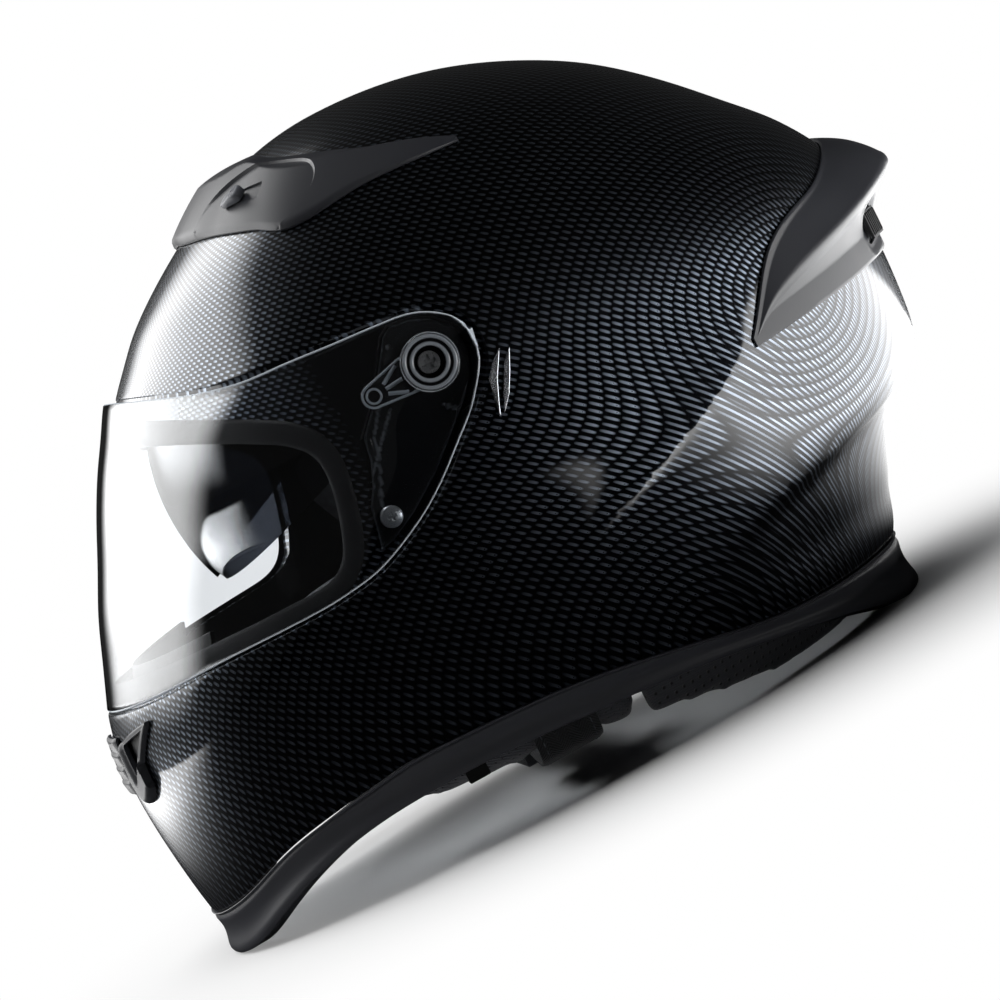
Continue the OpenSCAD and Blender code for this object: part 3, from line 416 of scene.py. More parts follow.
def gridSolid(name, outer, inner, wrap=False, sharp=None):  # a solid between two grids of points
    rows, cols = outer.shape[:2]
    n = rows * cols
    faces = []
    for j in range(rows - 1):
        for i in range(cols if wrap else cols - 1):
            p, q = j * cols + i, j * cols + (i + 1) % cols
            r, s = p + cols, q + cols
            faces += [(p, q, s, r), (p + n, r + n, s + n, q + n)]
    for i in range(cols if wrap else cols - 1):
        p, q = i, (i + 1) % cols
        top = (rows - 1) * cols
        faces += [(p, p + n, q + n, q), (top + p, top + q, top + q + n, top + p + n)]
    if not wrap:
        for j in range(rows - 1):
            p, r = j * cols, (j + 1) * cols
            e, g = p + cols - 1, r + cols - 1
            faces += [(p, r, r + n, p + n), (e, e + n, g + n, g)]
    return turnedOut(mesh(name, np.vstack([outer.reshape(-1, 3), inner.reshape(-1, 3)]), faces, sharp))


def lathed(points, centre, steps=72):  # rings round X of a profile of place along X and radius
    turns = np.radians(np.arange(steps) * 360 / steps)
    return np.array([np.column_stack([np.full(steps, x), centre[0] + radius * np.cos(turns),
        centre[1] + radius * np.sin(turns)]) for x, radius in points])


def surfaceFrame(a, k, d):  # a place on the shell as the construction has it: origin and axes, the last outwards
    a, k = np.array(float(a)), np.array(float(k))
    n = normalOf(shellFace, a, k)
    origin = shellFace(a, k) - d * n
    flat = np.array([-n[1], n[0], 0]) / np.hypot(n[0], n[1])
    return origin, np.cross(flat, n), flat, n


print("surfaces ready")


# Materials
def linear(hexColour, gain=1):
    c = np.array([int(hexColour[i:i + 2], 16) for i in (1, 3, 5)]) / 255
    return (*gain * np.where(c <= 0.04045, c / 12.92, ((c + 0.055) / 1.055) ** 2.4), 1)


def feed(node, inputs):  # each input gets a value, or a link from a socket or from a node's first output
    for name, value in inputs.items():
        source = value.outputs[0] if hasattr(value, "outputs") else value
        if isinstance(source, bpy.types.NodeSocket):
            node.id_data.links.new(source, node.inputs[name])
        else:
            node.inputs[name].default_value = source


def addNode(tree, kind, inputs=None, **settings):
    node = tree.nodes.new(kind if kind.startswith(("Geometry", "Function", "NodeGroup")) else "ShaderNode" + kind)
    for key, value in settings.items():
        setattr(node, key, value)
    feed(node, inputs or {})
    return node


def newMaterial(name, layer=None):  # patterns lie on the piece's own attribute, or on Object coordinates
    made = bpy.data.materials.new(name)
    made.use_nodes = True
    tree = made.node_tree
    if layer:
        place = addNode(tree, "Attribute", attribute_name=layer).outputs["Vector"]
    else:
        place = addNode(tree, "TexCoord").outputs["Object"]
    return made, tree, tree.nodes["Principled BSDF"], place


# Water-transfer printed film under clear lacquer: slanted grey-blue dashes on near black, mirror gloss
def lacqueredPrint():
    made, tree, shader, where = newMaterial("lacqueredPrint")
    cells = addNode(tree, "SeparateXYZ", {0: addNode(tree, "Attribute", attribute_name="weave").outputs["Vector"]})
    phases = [addNode(tree, "Math", {0: cells.outputs[i], 1: math.pi}, operation="MULTIPLY") for i in (0, 1)]
    waves = [addNode(tree, "Math", {0: phase}, operation="SINE") for phase in phases]
    checks = addNode(tree, "Math", {0: waves[0], 1: waves[1]}, operation="MULTIPLY")
    dash = addNode(tree, "MapRange", {0: checks, 1: 0.0, 2: 0.7}, interpolation_type="SMOOTHSTEP")
    cloud = addNode(tree, "TexNoise", {"Vector": where, "Scale": 38.0, "Detail": 3.0})
    patchy = addNode(tree, "MapRange", {0: cloud, 1: 0.3, 2: 0.7, 3: 0.75, 4: 1.0})
    # Each dash is darker towards one end, as a thread that dips under its neighbour
    ends = addNode(tree, "Math", {0: phases[0]}, operation="COSINE")
    sign = addNode(tree, "Math", {0: waves[0]}, operation="SIGN")
    slope = addNode(tree, "Math", {0: ends, 1: sign}, operation="MULTIPLY")
    shade = addNode(tree, "MapRange", {0: slope, 1: -1.0, 2: 1.0, 3: 0.35, 4: 1.0})
    printed = addNode(tree, "Math", {0: 1.0, 1: cells.outputs[2]}, operation="SUBTRACT")
    mask = dash
    for factor in (patchy, shade, printed):
        mask = addNode(tree, "Math", {0: mask, 1: factor}, operation="MULTIPLY")
    colour = addNode(tree, "Mix", {"Factor": mask, 6: linear("#020306"), 7: linear("#8e98a6")}, data_type="RGBA")
    rough = addNode(tree, "MapRange", {0: mask, 3: 0.38, 4: 0.25})
    orange = addNode(tree, "TexNoise", {"Vector": where, "Scale": 240.0, "Detail": 1.0})
    peel = addNode(tree, "Bump", {"Height": orange, "Distance": 0.00002, "Strength": 0.25})
    feed(shader, {"Base Color": colour.outputs[2], "Roughness": rough, "Metallic": 0.96, "Coat Weight": 1.0,
        "Coat Roughness": 0.03, "Coat IOR": 1.5, "Coat Normal": peel})
    return made


# Injection-moulded matt ABS with a spark-eroded tool texture of 0.55 mm
def mattAbs(name, colour, roughness):
    made, tree, shader, where = newMaterial(name)
    fine = addNode(tree, "TexNoise", {"Vector": where, "Scale": 1000 / 0.55, "Detail": 2.0})
    broad = addNode(tree, "TexNoise", {"Vector": where, "Scale": 45.0, "Detail": 4.0})
    tint = addNode(tree, "Mix", {"Factor": broad, 6: linear(colour), 7: linear(colour, 1.18)}, data_type="RGBA")
    rough = addNode(tree, "MapRange", {0: broad, 3: roughness - 0.05, 4: roughness + 0.08})
    bumps = addNode(tree, "Bump", {"Height": fine, "Distance": 0.00005, "Strength": 0.5})
    feed(shader, {"Base Color": tint.outputs[2], "Roughness": rough, "Normal": bumps, "IOR": 1.53})
    return made


# Clear polycarbonate sheet with a hard coat: sharp reflections, a faint haze from wiping
def clearPolycarbonate(name, tint, shade):
    made, tree, shader, where = newMaterial(name)
    haze = addNode(tree, "TexNoise", {"Vector": where, "Scale": 60.0, "Detail": 2.0})
    rough = addNode(tree, "MapRange", {0: haze, 3: 0.0, 4: 0.015})
    feed(shader, {"Base Color": linear(tint), "Roughness": rough, "IOR": 1.5, "Transmission Weight": 1.0,
        "Coat Weight": 0.35, "Coat Roughness": 0.02})
    # Painted highlight: a pale diffuse colour on the cut edge stands in for the light that the edge gathers
    edgeHighlightShare = addNode(tree, "Attribute", attribute_name="edgeHighlight")
    highlight = addNode(tree, "BsdfDiffuse", {"Color": linear("#cfd6de")})
    body = addNode(tree, "MixShader", {0: edgeHighlightShare.outputs["Fac"], 1: shader, 2: highlight})
    # Shadow rays pass, so that what lies behind the sheet is lit
    path = addNode(tree, "LightPath")
    clear = addNode(tree, "BsdfTransparent", {"Color": linear(shade)})
    mix = addNode(tree, "MixShader", {0: path.outputs["Is Shadow Ray"], 1: body, 2: clear})
    feed(tree.nodes["Material Output"], {0: mix})
    return made


# Polished ABS, acetal or PVC with faint polishing swirls; raised lines of the moulding get a painted pale
# highlight
def glossPlastic(name, colour, roughness):
    made, tree, shader, where = newMaterial(name)
    swirl = addNode(tree, "TexNoise", {"Vector": where, "Scale": 120.0, "Detail": 3.0})
    rough = addNode(tree, "MapRange", {0: swirl, 3: roughness, 4: roughness + 0.14})
    bumps = addNode(tree, "Bump", {"Height": swirl, "Distance": 0.00003, "Strength": 0.3})
    # Painted highlight: pale grey on the raised lines, where light would catch their edges
    ridgeHighlight = addNode(tree, "Attribute", attribute_name="ridgeHighlight").outputs["Fac"]
    highlighted = addNode(tree, "Mix", {"Factor": ridgeHighlight, 6: linear(colour), 7: linear("#8f959c")}, data_type="RGBA")
    feed(shader, {"Base Color": highlighted.outputs[2], "Roughness": rough, "Normal": bumps, "IOR": 1.53})
    return made


# Extruded EPDM rubber seal: deep black, satin, with a trace of talc in its 2 mm pores
def sealRubber():
    made, tree, shader, where = newMaterial("sealRubber")
    pores = addNode(tree, "TexNoise", {"Vector": where, "Scale": 500.0, "Detail": 2.0})
    dust = addNode(tree, "Mix", {"Factor": pores, 6: linear("#060607"), 7: linear("#0e0f11")}, data_type="RGBA")
    bumps = addNode(tree, "Bump", {"Height": pores, "Distance": 0.00004, "Strength": 0.3})
    feed(shader, {"Base Color": dust.outputs[2], "Roughness": 0.5, "Normal": bumps, "IOR": 1.52,
        "Specular IOR Level": 0.22})
    return made


# Expanded polystyrene, painted charcoal: fused beads of about 3 mm
def beadFoam():
    made, tree, shader, where = newMaterial("beadFoam")
    beads = addNode(tree, "TexVoronoi", {"Vector": where, "Scale": 330.0})
    tone = addNode(tree, "Mix", {"Factor": beads, 6: linear("#34363b"), 7: linear("#1b1c1f")}, data_type="RGBA")
    bumps = addNode(tree, "Bump", {"Height": beads, "Distance": -0.0004, "Strength": 0.6})
    feed(shader, {"Base Color": tone.outputs[2], "Roughness": 0.8, "Normal": bumps})
    return made


# Warp-knitted polyester over foam with open eyelets, their pitch in millimetres: soft sheen, no gloss
def eyeletKnit(name, colour, pitch, eyelet):
    made, tree, shader, place = newMaterial(name, "knit")
    scaled = addNode(tree, "VectorMath", {0: place, "Scale": 1 / pitch}, operation="SCALE")
    holes = addNode(tree, "TexVoronoi", {"Vector": scaled, "Scale": 1.0, "Randomness": 0.12},
        voronoi_dimensions="2D")
    hole = addNode(tree, "MapRange", {0: holes, 1: eyelet - 0.1, 2: eyelet + 0.06},
        interpolation_type="SMOOTHSTEP")
    loops = addNode(tree, "TexWave", {"Vector": place, "Scale": 0.9, "Distortion": 1.5, "Detail": 1.0},
        bands_direction="DIAGONAL").outputs["Fac"]
    # Painted light and shade: the knit's loops are painted lighter, as light on the yarn, and the eyelets near
    # black, as shade in the holes
    lit = addNode(tree, "Mix", {"Factor": loops, 6: linear(colour), 7: linear(colour, 1.9)}, data_type="RGBA")
    tone = addNode(tree, "Mix", {"Factor": hole, 6: linear("#020203"), 7: lit.outputs[2]}, data_type="RGBA")
    depth = addNode(tree, "Math", {0: hole, 1: loops, 2: hole}, operation="MULTIPLY_ADD")
    bumps = addNode(tree, "Bump", {"Height": depth, "Distance": 0.0004, "Strength": 0.7})
    feed(shader, {"Base Color": tone.outputs[2], "Roughness": 0.85, "Normal": bumps, "Sheen Weight": 0.25,
        "Sheen Roughness": 0.5})
    return made


# Woven nylon webbing: a herringbone of 1.2 mm ribs, turned every 4 mm, slightly shiny
def nylonWebbing():
    made, tree, shader, place = newMaterial("nylonWebbing", "knit")
    split = addNode(tree, "SeparateXYZ", {0: place})
    fold = addNode(tree, "Math", {0: split.outputs[1], 1: 4.0}, operation="PINGPONG")
    slant = addNode(tree, "Math", {0: split, 1: fold}, operation="ADD")
    turns = addNode(tree, "Math", {0: slant, 1: 2 * math.pi / 1.2}, operation="MULTIPLY")
    rib = addNode(tree, "Math", {0: turns}, operation="SINE")
    unit = addNode(tree, "MapRange", {0: rib, 1: -1.0})
    tone = addNode(tree, "Mix", {"Factor": unit, 6: linear("#0c0d0f"), 7: linear("#26282c")}, data_type="RGBA")
    bumps = addNode(tree, "Bump", {"Height": unit, "Distance": 0.0003, "Strength": 0.7})
    feed(shader, {"Base Color": tone.outputs[2], "Roughness": 0.6, "Normal": bumps, "Sheen Weight": 0.15})
    return made


# Zinc-plated steel or anodised aluminium: fine marks, drawn out along X where it is brushed
def brushedMetal(name, colour, roughness, stretch):
    made, tree, shader, where = newMaterial(name)
    stretched = addNode(tree, "Mapping", {"Vector": where, 3: (1, stretch, stretch)})
    marks = addNode(tree, "TexNoise", {"Vector": stretched, "Scale": 260.0, "Detail": 3.0})
    rough = addNode(tree, "MapRange", {0: marks, 3: roughness - 0.08, 4: roughness + 0.12})
    bumps = addNode(tree, "Bump", {"Height": marks, "Distance": 0.00002, "Strength": 0.4})
    feed(shader, {"Base Color": linear(colour), "Roughness": rough, "Normal": bumps, "Metallic": 1.0})
    return made


# Bonded polyester thread: charcoal, faintly shiny
def sewingThread():
    made, tree, shader, where = newMaterial("sewingThread")
    fuzz = addNode(tree, "TexNoise", {"Vector": where, "Scale": 1500.0})
    tone = addNode(tree, "Mix", {"Factor": fuzz, 6: linear("#3d4046"), 7: linear("#5d6168")}, data_type="RGBA")
    feed(shader, {"Base Color": tone.outputs[2], "Roughness": 0.55})
    return made


finish = {
    "print": lacqueredPrint(),
    "trim": mattAbs("mattTrimAbs", "#303136", 0.4),
    "vent": mattAbs("mattVentAbs", "#27282c", 0.38),
    # Painted light: the sliders are the same plastic as the vent cover, given a lighter colour against the shade
    # of their pocket
    "slider": mattAbs("mattSliderAbsPaintedLighter", "#5a5c62", 0.38),
    "dark": mattAbs("mattBlackAbs", "#0b0c0e", 0.5),
    "inside": mattAbs("mattInnerCoat", "#08090a", 0.6),
    "visor": clearPolycarbonate("clearHardCoat", "#fbfdff", "#fbfdff"),
    "smoke": clearPolycarbonate("smokeHardCoat", "#3c4048", "#5a5e66"),
    "mechanism": glossPlastic("polishedBlackAbs", "#0a0b0d", 0.12),
    "red": glossPlastic("redAcetal", "#a51420", 0.3),
    "cable": glossPlastic("cablePvc", "#15161a", 0.4),
    "seal": sealRubber(),
    "foam": beadFoam(),
    "knit": eyeletKnit("eyeletKnit", "#2d2e33", 3.4, 0.17),
    "plush": eyeletKnit("brushedKnit", "#303136", 2.2, 0.12),
    "webbing": nylonWebbing(),
    "thread": sewingThread(),
    "steel": brushedMetal("zincPlatedSteel", "#b9bcc0", 0.28, 12),
    "silver": brushedMetal("anodisedSilver", "#c9ccd2", 0.22, 1),
}
print("materials ready")


# Outer shell
shellLook = {"columns": 176, "rows": 104, "topAngle": 88.6, "creaseRound": 2.2, "wellGrow": 0.8, "wellRun": 0.3,
    "lip": 0.9, "wallRun": 0.22, "panelHollow": 2.4, "wellDepth": 0.5, "portRound": 0.8, "footRound": 0.9,
    "inwards": -0.25, "creaseFade": (14, 22), "creaseAlong": (-70, 105, 45), "creaseAside": (60, 140, 20),
    "panelFrom": 42, "panelRun": 40, "panelEdge": 5, "panelFoot": (2, 16)}
wallLook = {"bedUp": (-36, 14, 8), "bedRound": (-20, 108, 12), "baseUp": (-36, 24, 8), "baseRound": (60, 108, 10),
    "thinning": 0.4, "thinFrom": 6, "thinRun": 10}
ridgeLine = [[-60, 48.2], [-39, 56.6], [105, 114.6], [125, 122.7]]
rearCrease = [[40, 49.5], [55.8, 53.9], [68.6, 56.8], [84.3, 60.2], [113.1, 64.9], [143.3, 69.7], [175, 71.5]]
visorOutline = [[y, float(along(visorLow, y))] for y in np.linspace(-170, helmet["visorEnd"], 130)]
visorOutline += [[y, float(along(visorHigh, y))] for y in np.linspace(helmet["visorEnd"], -118, 90)]
visorOutline += [[-170, 212]]
portOutline = [[-220, eyeport["low"]]] + eyeport["rear"] + [[-220, eyeport["high"] - 220 * eyeport["slope"]]]
baseOutline = [[-20.8, 178], [-24.6, 175.6], [-31.6, 165.7], [-39.7, 155.2], [-47.5, 147.3], [-49, 139.3],
    [-52.7, 131], [-56.5, 125.3], [-60, 110], [-54, 111.6], [-43.7, 116.5], [-31, 124.5], [-18, 135],
    [-9, 142.6], [-2.6, 150], [0, 158], [-0.5, 166], [-6, 172.5], [-13, 176.4]]
chinOpening = [[26, 88], [50, 92], [30, 73]]
visorEdge, portEdge, baseEdge = edgeDistance(visorOutline), edgeDistance(portOutline), edgeDistance(baseOutline)
chinEdge = edgeDistance(chinOpening)
aboveRidge, aboveRear = aboveLine(ridgeLine), aboveLine(rearCrease)


def relief(f):  # how far the moulded creases stand out of the plain face
    look, x, y, z = shellLook, *f.T
    s = aboveRidge(y, z)
    blunt = np.sqrt(s ** 2 + look["creaseRound"] ** 2) - look["creaseRound"]
    ridge = helmet["creaseHeight"] * np.exp(-blunt / np.where(s > 0, *look["creaseFade"]))
    ridge *= bump(y, *look["creaseAlong"]) * bump(np.abs(x), *look["creaseAside"])
    panel = look["panelHollow"] * ease(-aboveRear(y, z) / look["panelEdge"])
    panel *= ease((y - look["panelFrom"]) / look["panelRun"])
    start, run = look["panelFoot"]
    return ridge - panel * ease((z - seamAt(np.minimum(y, helmet["rearEnd"])) - start) / run)


def wallAt(a, k):
    look, b = wallLook, turn(a)
    bed = helmet["bedWall"] * bump(k, *look["bedUp"]) * bump(b, *look["bedRound"])
    thin = 1 - look["thinning"] * ease((k - look["thinFrom"]) / look["thinRun"])
    base = helmet["baseWall"] * bump(k, *look["baseUp"]) * bump(b, *look["baseRound"]) * thin
    return helmet["wall"] + np.maximum(bed, base)


def seamAngle(a):
    return level(seamAt(shellFace(np.asarray(a, float), np.full(np.shape(a), -62.0))[..., 1]))


weave = {"middle": (-3.3, 130), "radii": (127, 165, 122), "reach": 135, "tilt": 28.5, "upperWhorl": (99, 40),
    "lowerWhorl": (70, -77), "blend": 14, "longCell": 4.8, "shortCell": 1.4, "shortening": 0.0125,
    "rowPitch": 1.25, "slant": 0.3, "steepen": (12.25, 80, 35), "steepest": 2.6,
    "bareEdge": (0.2, 0.8), "bareFrom": -62, "bareRun": 14}


def weaveField(f):  # the print's cells along and across its dashes, counted at each point
    n = (f - [0, *weave["middle"]]) / weave["radii"]
    flat = np.maximum(np.linalg.norm(n[:, 1:], axis=1), 1e-6)
    spread = n[:, 1:] / flat[:, None] * (np.arctan2(flat, np.abs(n[:, 0])) * weave["reach"])[:, None]
    tilt = math.radians(weave["tilt"])
    x = spread[:, 0] * math.cos(tilt) - spread[:, 1] * math.sin(tilt)
    z = spread[:, 0] * math.sin(tilt) + spread[:, 1] * math.cos(tilt)
    rings = [np.hypot(x - cx, z - cz) for cx, cz in (weave["upperWhorl"], weave["lowerWhorl"])]
    reach = -weave["blend"] * np.log(sum(np.exp(-r / weave["blend"]) for r in rings))
    size = np.maximum(weave["longCell"] - weave["shortening"] * reach, weave["shortCell"])
    gain, start, run = weave["steepen"]
    rows = z + weave["slant"] * x + gain * np.exp(np.minimum((x - start) / run, weave["steepest"]))
    # No print shows on the bed round the visor's hub
    edge, fade = weave["bareEdge"]
    bare = ease((helmet["visorGap"] - edge - visorEdge(f[:, 1], f[:, 2])) / fade)
    bare *= ease((f[:, 1] - weave["bareFrom"]) / weave["bareRun"])
    return np.stack([-np.log(size) / weave["shortening"], rows / weave["rowPitch"], bare], 1)


def hubWell(y, z):  # distance outside the round well in which the visor's rear end turns
    return fromPivot(y, z) - helmet["hubWell"] - shellLook["wellGrow"]


def makeShell():
    turns = np.linspace(0, 180, shellLook["columns"] + 1)
    shares = np.concatenate([[0, 0.002, 0.005], np.linspace(0.012, 1, shellLook["rows"] - 2)])
    sheet = halfSheet(turns, seamAngle(turns), shellLook["topAngle"], shares, True)
    gap, run, reach = helmet["visorGap"], shellLook["wallRun"], shellLook["lip"]
    for distance, levels in ((visorEdge, (gap, gap - run, gap + 0.3, gap + reach, gap - run - 0.7)),
            (portEdge, (0, shellLook["portRound"])), (baseEdge, (0.6, 0.4))):
        cutLevels(sheet, seenFromSide(sheet, distance), levels)
    cutAlong(sheet, lambda p: chinEdge(*shellFace(*p.T)[:, [0, 2]].T))
    cutLevels(sheet, seenFromSide(sheet, hubWell), (0, shellLook["wellRun"]))

    def onRidge(p):
        f = shellFace(*p.T)
        near = (f[:, 1] > -68) & (f[:, 1] < 103) & (turn(p[:, 0]) < 170)
        return np.where(near, aboveRidge(f[:, 1], f[:, 2]), 50)

    def onRear(p):
        f = shellFace(*p.T)
        return np.where(f[:, 1] > 46, aboveRear(f[:, 1], f[:, 2]), 50)
    cutAlong(sheet, onRidge)
    cutAlong(sheet, onRear)
    a, k = sheet["p"].T
    f = shellFace(a, k)
    y, z = f[:, 1], f[:, 2]
    g = visorEdge(y, z)
    lip = np.clip(1 - (g - gap) / reach, 0, 1) * (g < gap + reach)
    port = 1 - portEdge(y, z) / shellLook["portRound"]
    rise = z - seamAt(np.minimum(shellFace(a, -62 + 0 * a)[:, 1], helmet["rearEnd"]))
    soften = 0.45 * quarter(lip) + 0.5 * quarter(1 - rise / shellLook["footRound"])
    outer = inset(shellFace, a, k, soften - relief(f))
    pocket = helmet["plateDepth"] + helmet["plateWall"] + helmet["seatGap"]
    depth = lerp(helmet["bedDepth"] + 0.4 * quarter(port), pocket, np.clip((0.6 - baseEdge(y, z)) / 0.2, 0, 1))
    bed = inset(lensFace, a, np.clip(k, -40, 35), depth)
    share = ease((gap - g) / run)[:, None]
    outer = outer * (1 - share) + bed * share
    well = ease(-hubWell(y, z) / shellLook["wellRun"] + 1)
    floor = helmet["halfWidth"] - helmet["bedDepth"] - shellLook["wellDepth"]
    outer[:, 0] = lerp(outer[:, 0], np.minimum(outer[:, 0], floor), well)
    centre = f[sheet["t"]].mean(1)
    keep = portEdge(centre[:, 1], centre[:, 2]) > 0
    keep &= (chinEdge(centre[:, 0], centre[:, 2]) > 0) | (centre[:, 1] > -110)
    return closedSheet("shell.skin", sheet, keep, outer, inset(shellFace, a, k, wallAt(a, k)),
        {"weave": weaveField(f)})


def paintInside(piece, middle, material):  # faces that look inwards are bare
    count = len(piece.data.polygons)
    centre, normal = np.zeros(count * 3), np.zeros(count * 3)
    piece.data.polygons.foreach_get("center", centre)
    piece.data.polygons.foreach_get("normal", normal)
    away = centre.reshape(-1, 3) - placed(np.array([middle], float))
    facing = (normal.reshape(-1, 3) * away).sum(1) / np.linalg.norm(away, axis=1)
    piece.data.materials.append(material)
    piece.data.polygons.foreach_set("material_index", (facing < shellLook["inwards"]).astype(np.int32))


shell = makeShell()
dress(shell, "shell", ["outer_shell"], finish["print"])
paintInside(shell, (0, 0, helmet["middle"] * 0.6), finish["inside"])


# Clear visor
# The last entry is the strength of the painted highlight on the visor's cut edges
visorLook = {"columns": 96, "rows": 44, "bevel": 0.7, "hubBevel": 0.6, "highlight": 0.85}


def lensBetween(turns, low, high, start):  # angles at which a line crosses each turn of the lens
    found = []
    for line, first in ((low, start[0]), (high, start[1])):
        z = np.full(len(turns), first, float)
        for _ in range(8):
            z = along(line, np.minimum(lensFace(turns, level(z))[:, 1], helmet["visorEnd"]))
        found.append(level(z))
    return found


def makeVisor():
    end = float(around(helmet["visorEnd"] - 0.01, 4.0, visorFrontAt))
    turns = end * np.sin(np.radians(np.linspace(0, 90, visorLook["columns"] + 1)))
    sheet = halfSheet(turns, *lensBetween(turns, visorLow, visorHigh, (120, 185)), visorLook["rows"],
        face=lensFace)

    def hole(y, z):
        return fromPivot(y, z) - helmet["hubRadius"] - helmet["fitGap"]
    cutLevels(sheet, seenFromSide(sheet, hole), (0, 0.25, visorLook["hubBevel"]))
    cutLevels(sheet, seenFromSide(sheet, visorEdge), (-visorLook["bevel"], -0.3, -0.1), 0.05)
    a, k = sheet["p"].T
    f = lensFace(a, k)
    y, z = f[:, 1], f[:, 2]
    edge = np.maximum(1 + visorEdge(y, z) / visorLook["bevel"], 1 - hole(y, z) / visorLook["hubBevel"])
    drop = visorLook["bevel"] * quarter(edge)
    centre = f[sheet["t"]].mean(1)
    # Painted highlight on the cut edge and round the hub hole, fading in across the bevel
    edgeHighlightShare = np.clip((edge - 0.2) / 0.5, 0, 1) * visorLook["highlight"]
    return closedSheet("visor.lens", sheet, hole(centre[:, 1], centre[:, 2]) > 0, inset(lensFace, a, k, drop),
        inset(lensFace, a, k, helmet["visorWall"] - 0.6 * drop), {"edgeHighlight": edgeHighlightShare})


dress(makeVisor(), "visor_body", ["visor"], finish["visor"])


# Visor base plates, with the raised lines of their moulding
# The last entry is the strength of the painted highlight on the ribs and the plate's edge
plateLook = {"turns": (60, 98), "heights": (104, 181), "columns": 83, "rows": 96, "ribHeight": 0.45,
    "ribWidth": 0.9, "seat": 0.5, "round": 0.8, "well": (14.5, 0.5), "plain": 15.3, "highlight": 0.22}
plateRibs = [[[-5.3, 175.5], [-8, 167.9]], [[-20.6, 165], [-25.2, 171.7]],
    [[-34.3, 151.7], [-51.7, 133.5], [-52.3, 127]], [[-33, 160], [-44, 146], [-46.5, 137], [-54, 121]],
    [[-12, 139], [-18, 146.5]]]


def makePlates():
    turns = np.linspace(*plateLook["turns"], plateLook["columns"] + 1)
    sheet = halfSheet(turns, *level(plateLook["heights"]), plateLook["rows"], face=lensFace)
    cutLevels(sheet, seenFromSide(sheet, baseEdge), (0, -0.35, -plateLook["round"]))
    a, k = sheet["p"].T
    f = lensFace(a, k)
    y, z = f[:, 1], f[:, 2]
    edge = baseEdge(y, z)
    ribs = np.min([lineDistance(line, y, z) for line in plateRibs], axis=0)
    lines = np.maximum(ease((plateLook["ribWidth"] - ribs) / 0.5), ease((edge + 2.2) / 0.5))
    radius, depth = plateLook["well"]
    drop = 0.3 * quarter(1 + edge / plateLook["round"]) + depth * ease((radius - fromPivot(y, z)) / 0.8)
    lined = fromPivot(y, z) > plateLook["plain"]
    top = helmet["plateDepth"] + plateLook["seat"] + drop - plateLook["ribHeight"] * lines * lined
    # Painted highlight along the ribs and the plate's edge
    ridgeHighlight = plateLook["highlight"] * np.maximum(ease((0.6 - ribs) / 0.4), ease((edge + 0.9) / 0.4)) * lined
    centre = f[sheet["t"]].mean(1)
    return closedSheet("mechanism.plates", sheet, baseEdge(centre[:, 1], centre[:, 2]) < 0,
        inset(lensFace, a, k, top), inset(lensFace, a, k, helmet["plateDepth"] + helmet["plateWall"]),
        {"ridgeHighlight": ridgeHighlight})


dress(makePlates(), "shell", ["visor_base_left", "visor_base_right"], finish["mechanism"])


# Lock levers: a teardrop with a raised rim and three ribs, and the hub that the visor turns on
# Two entries set the painted highlight: one for the lever's rim, ribs and collar, one for the hub's rings
leverLook = {"length": 22, "drop": 1.5, "hubArm": 8.3, "endArm": 4.6, "plate": 1.0, "well": 5.5,
    "hubProud": 0.6, "endHole": 2, "screwSeat": 1.6, "screwHole": 2.6, "arcSteps": 28, "highlight": 0.75,
    "hubHighlight": 0.6, "ribSpread": (-5.2, 0, 5.2), "ribStart": (-17.2, -1.2, 0.34), "ribEnd": (-10.6, -0.7, 0.98),
    "endSteps": 36}


def teardrop(grow):  # outline round the hub and the small end
    y, z = helmet["pivot"]
    far, big, small = leverLook["length"], leverLook["hubArm"] + grow, leverLook["endArm"] + grow
    tip = math.atan2(-leverLook["drop"], -far)
    spread = math.acos((big - small) / math.hypot(far, leverLook["drop"]))
    share = np.arange(leverLook["arcSteps"] + 1) / leverLook["arcSteps"]
    back, front = tip + spread + (2 * math.pi - 2 * spread) * share, tip - spread + 2 * spread * share
    ring = np.column_stack([y + big * np.cos(back), z + big * np.sin(back)])
    end = np.column_stack([y - far + small * np.cos(front), z - leverLook["drop"] + small * np.sin(front)])
    return np.vstack([ring, end])


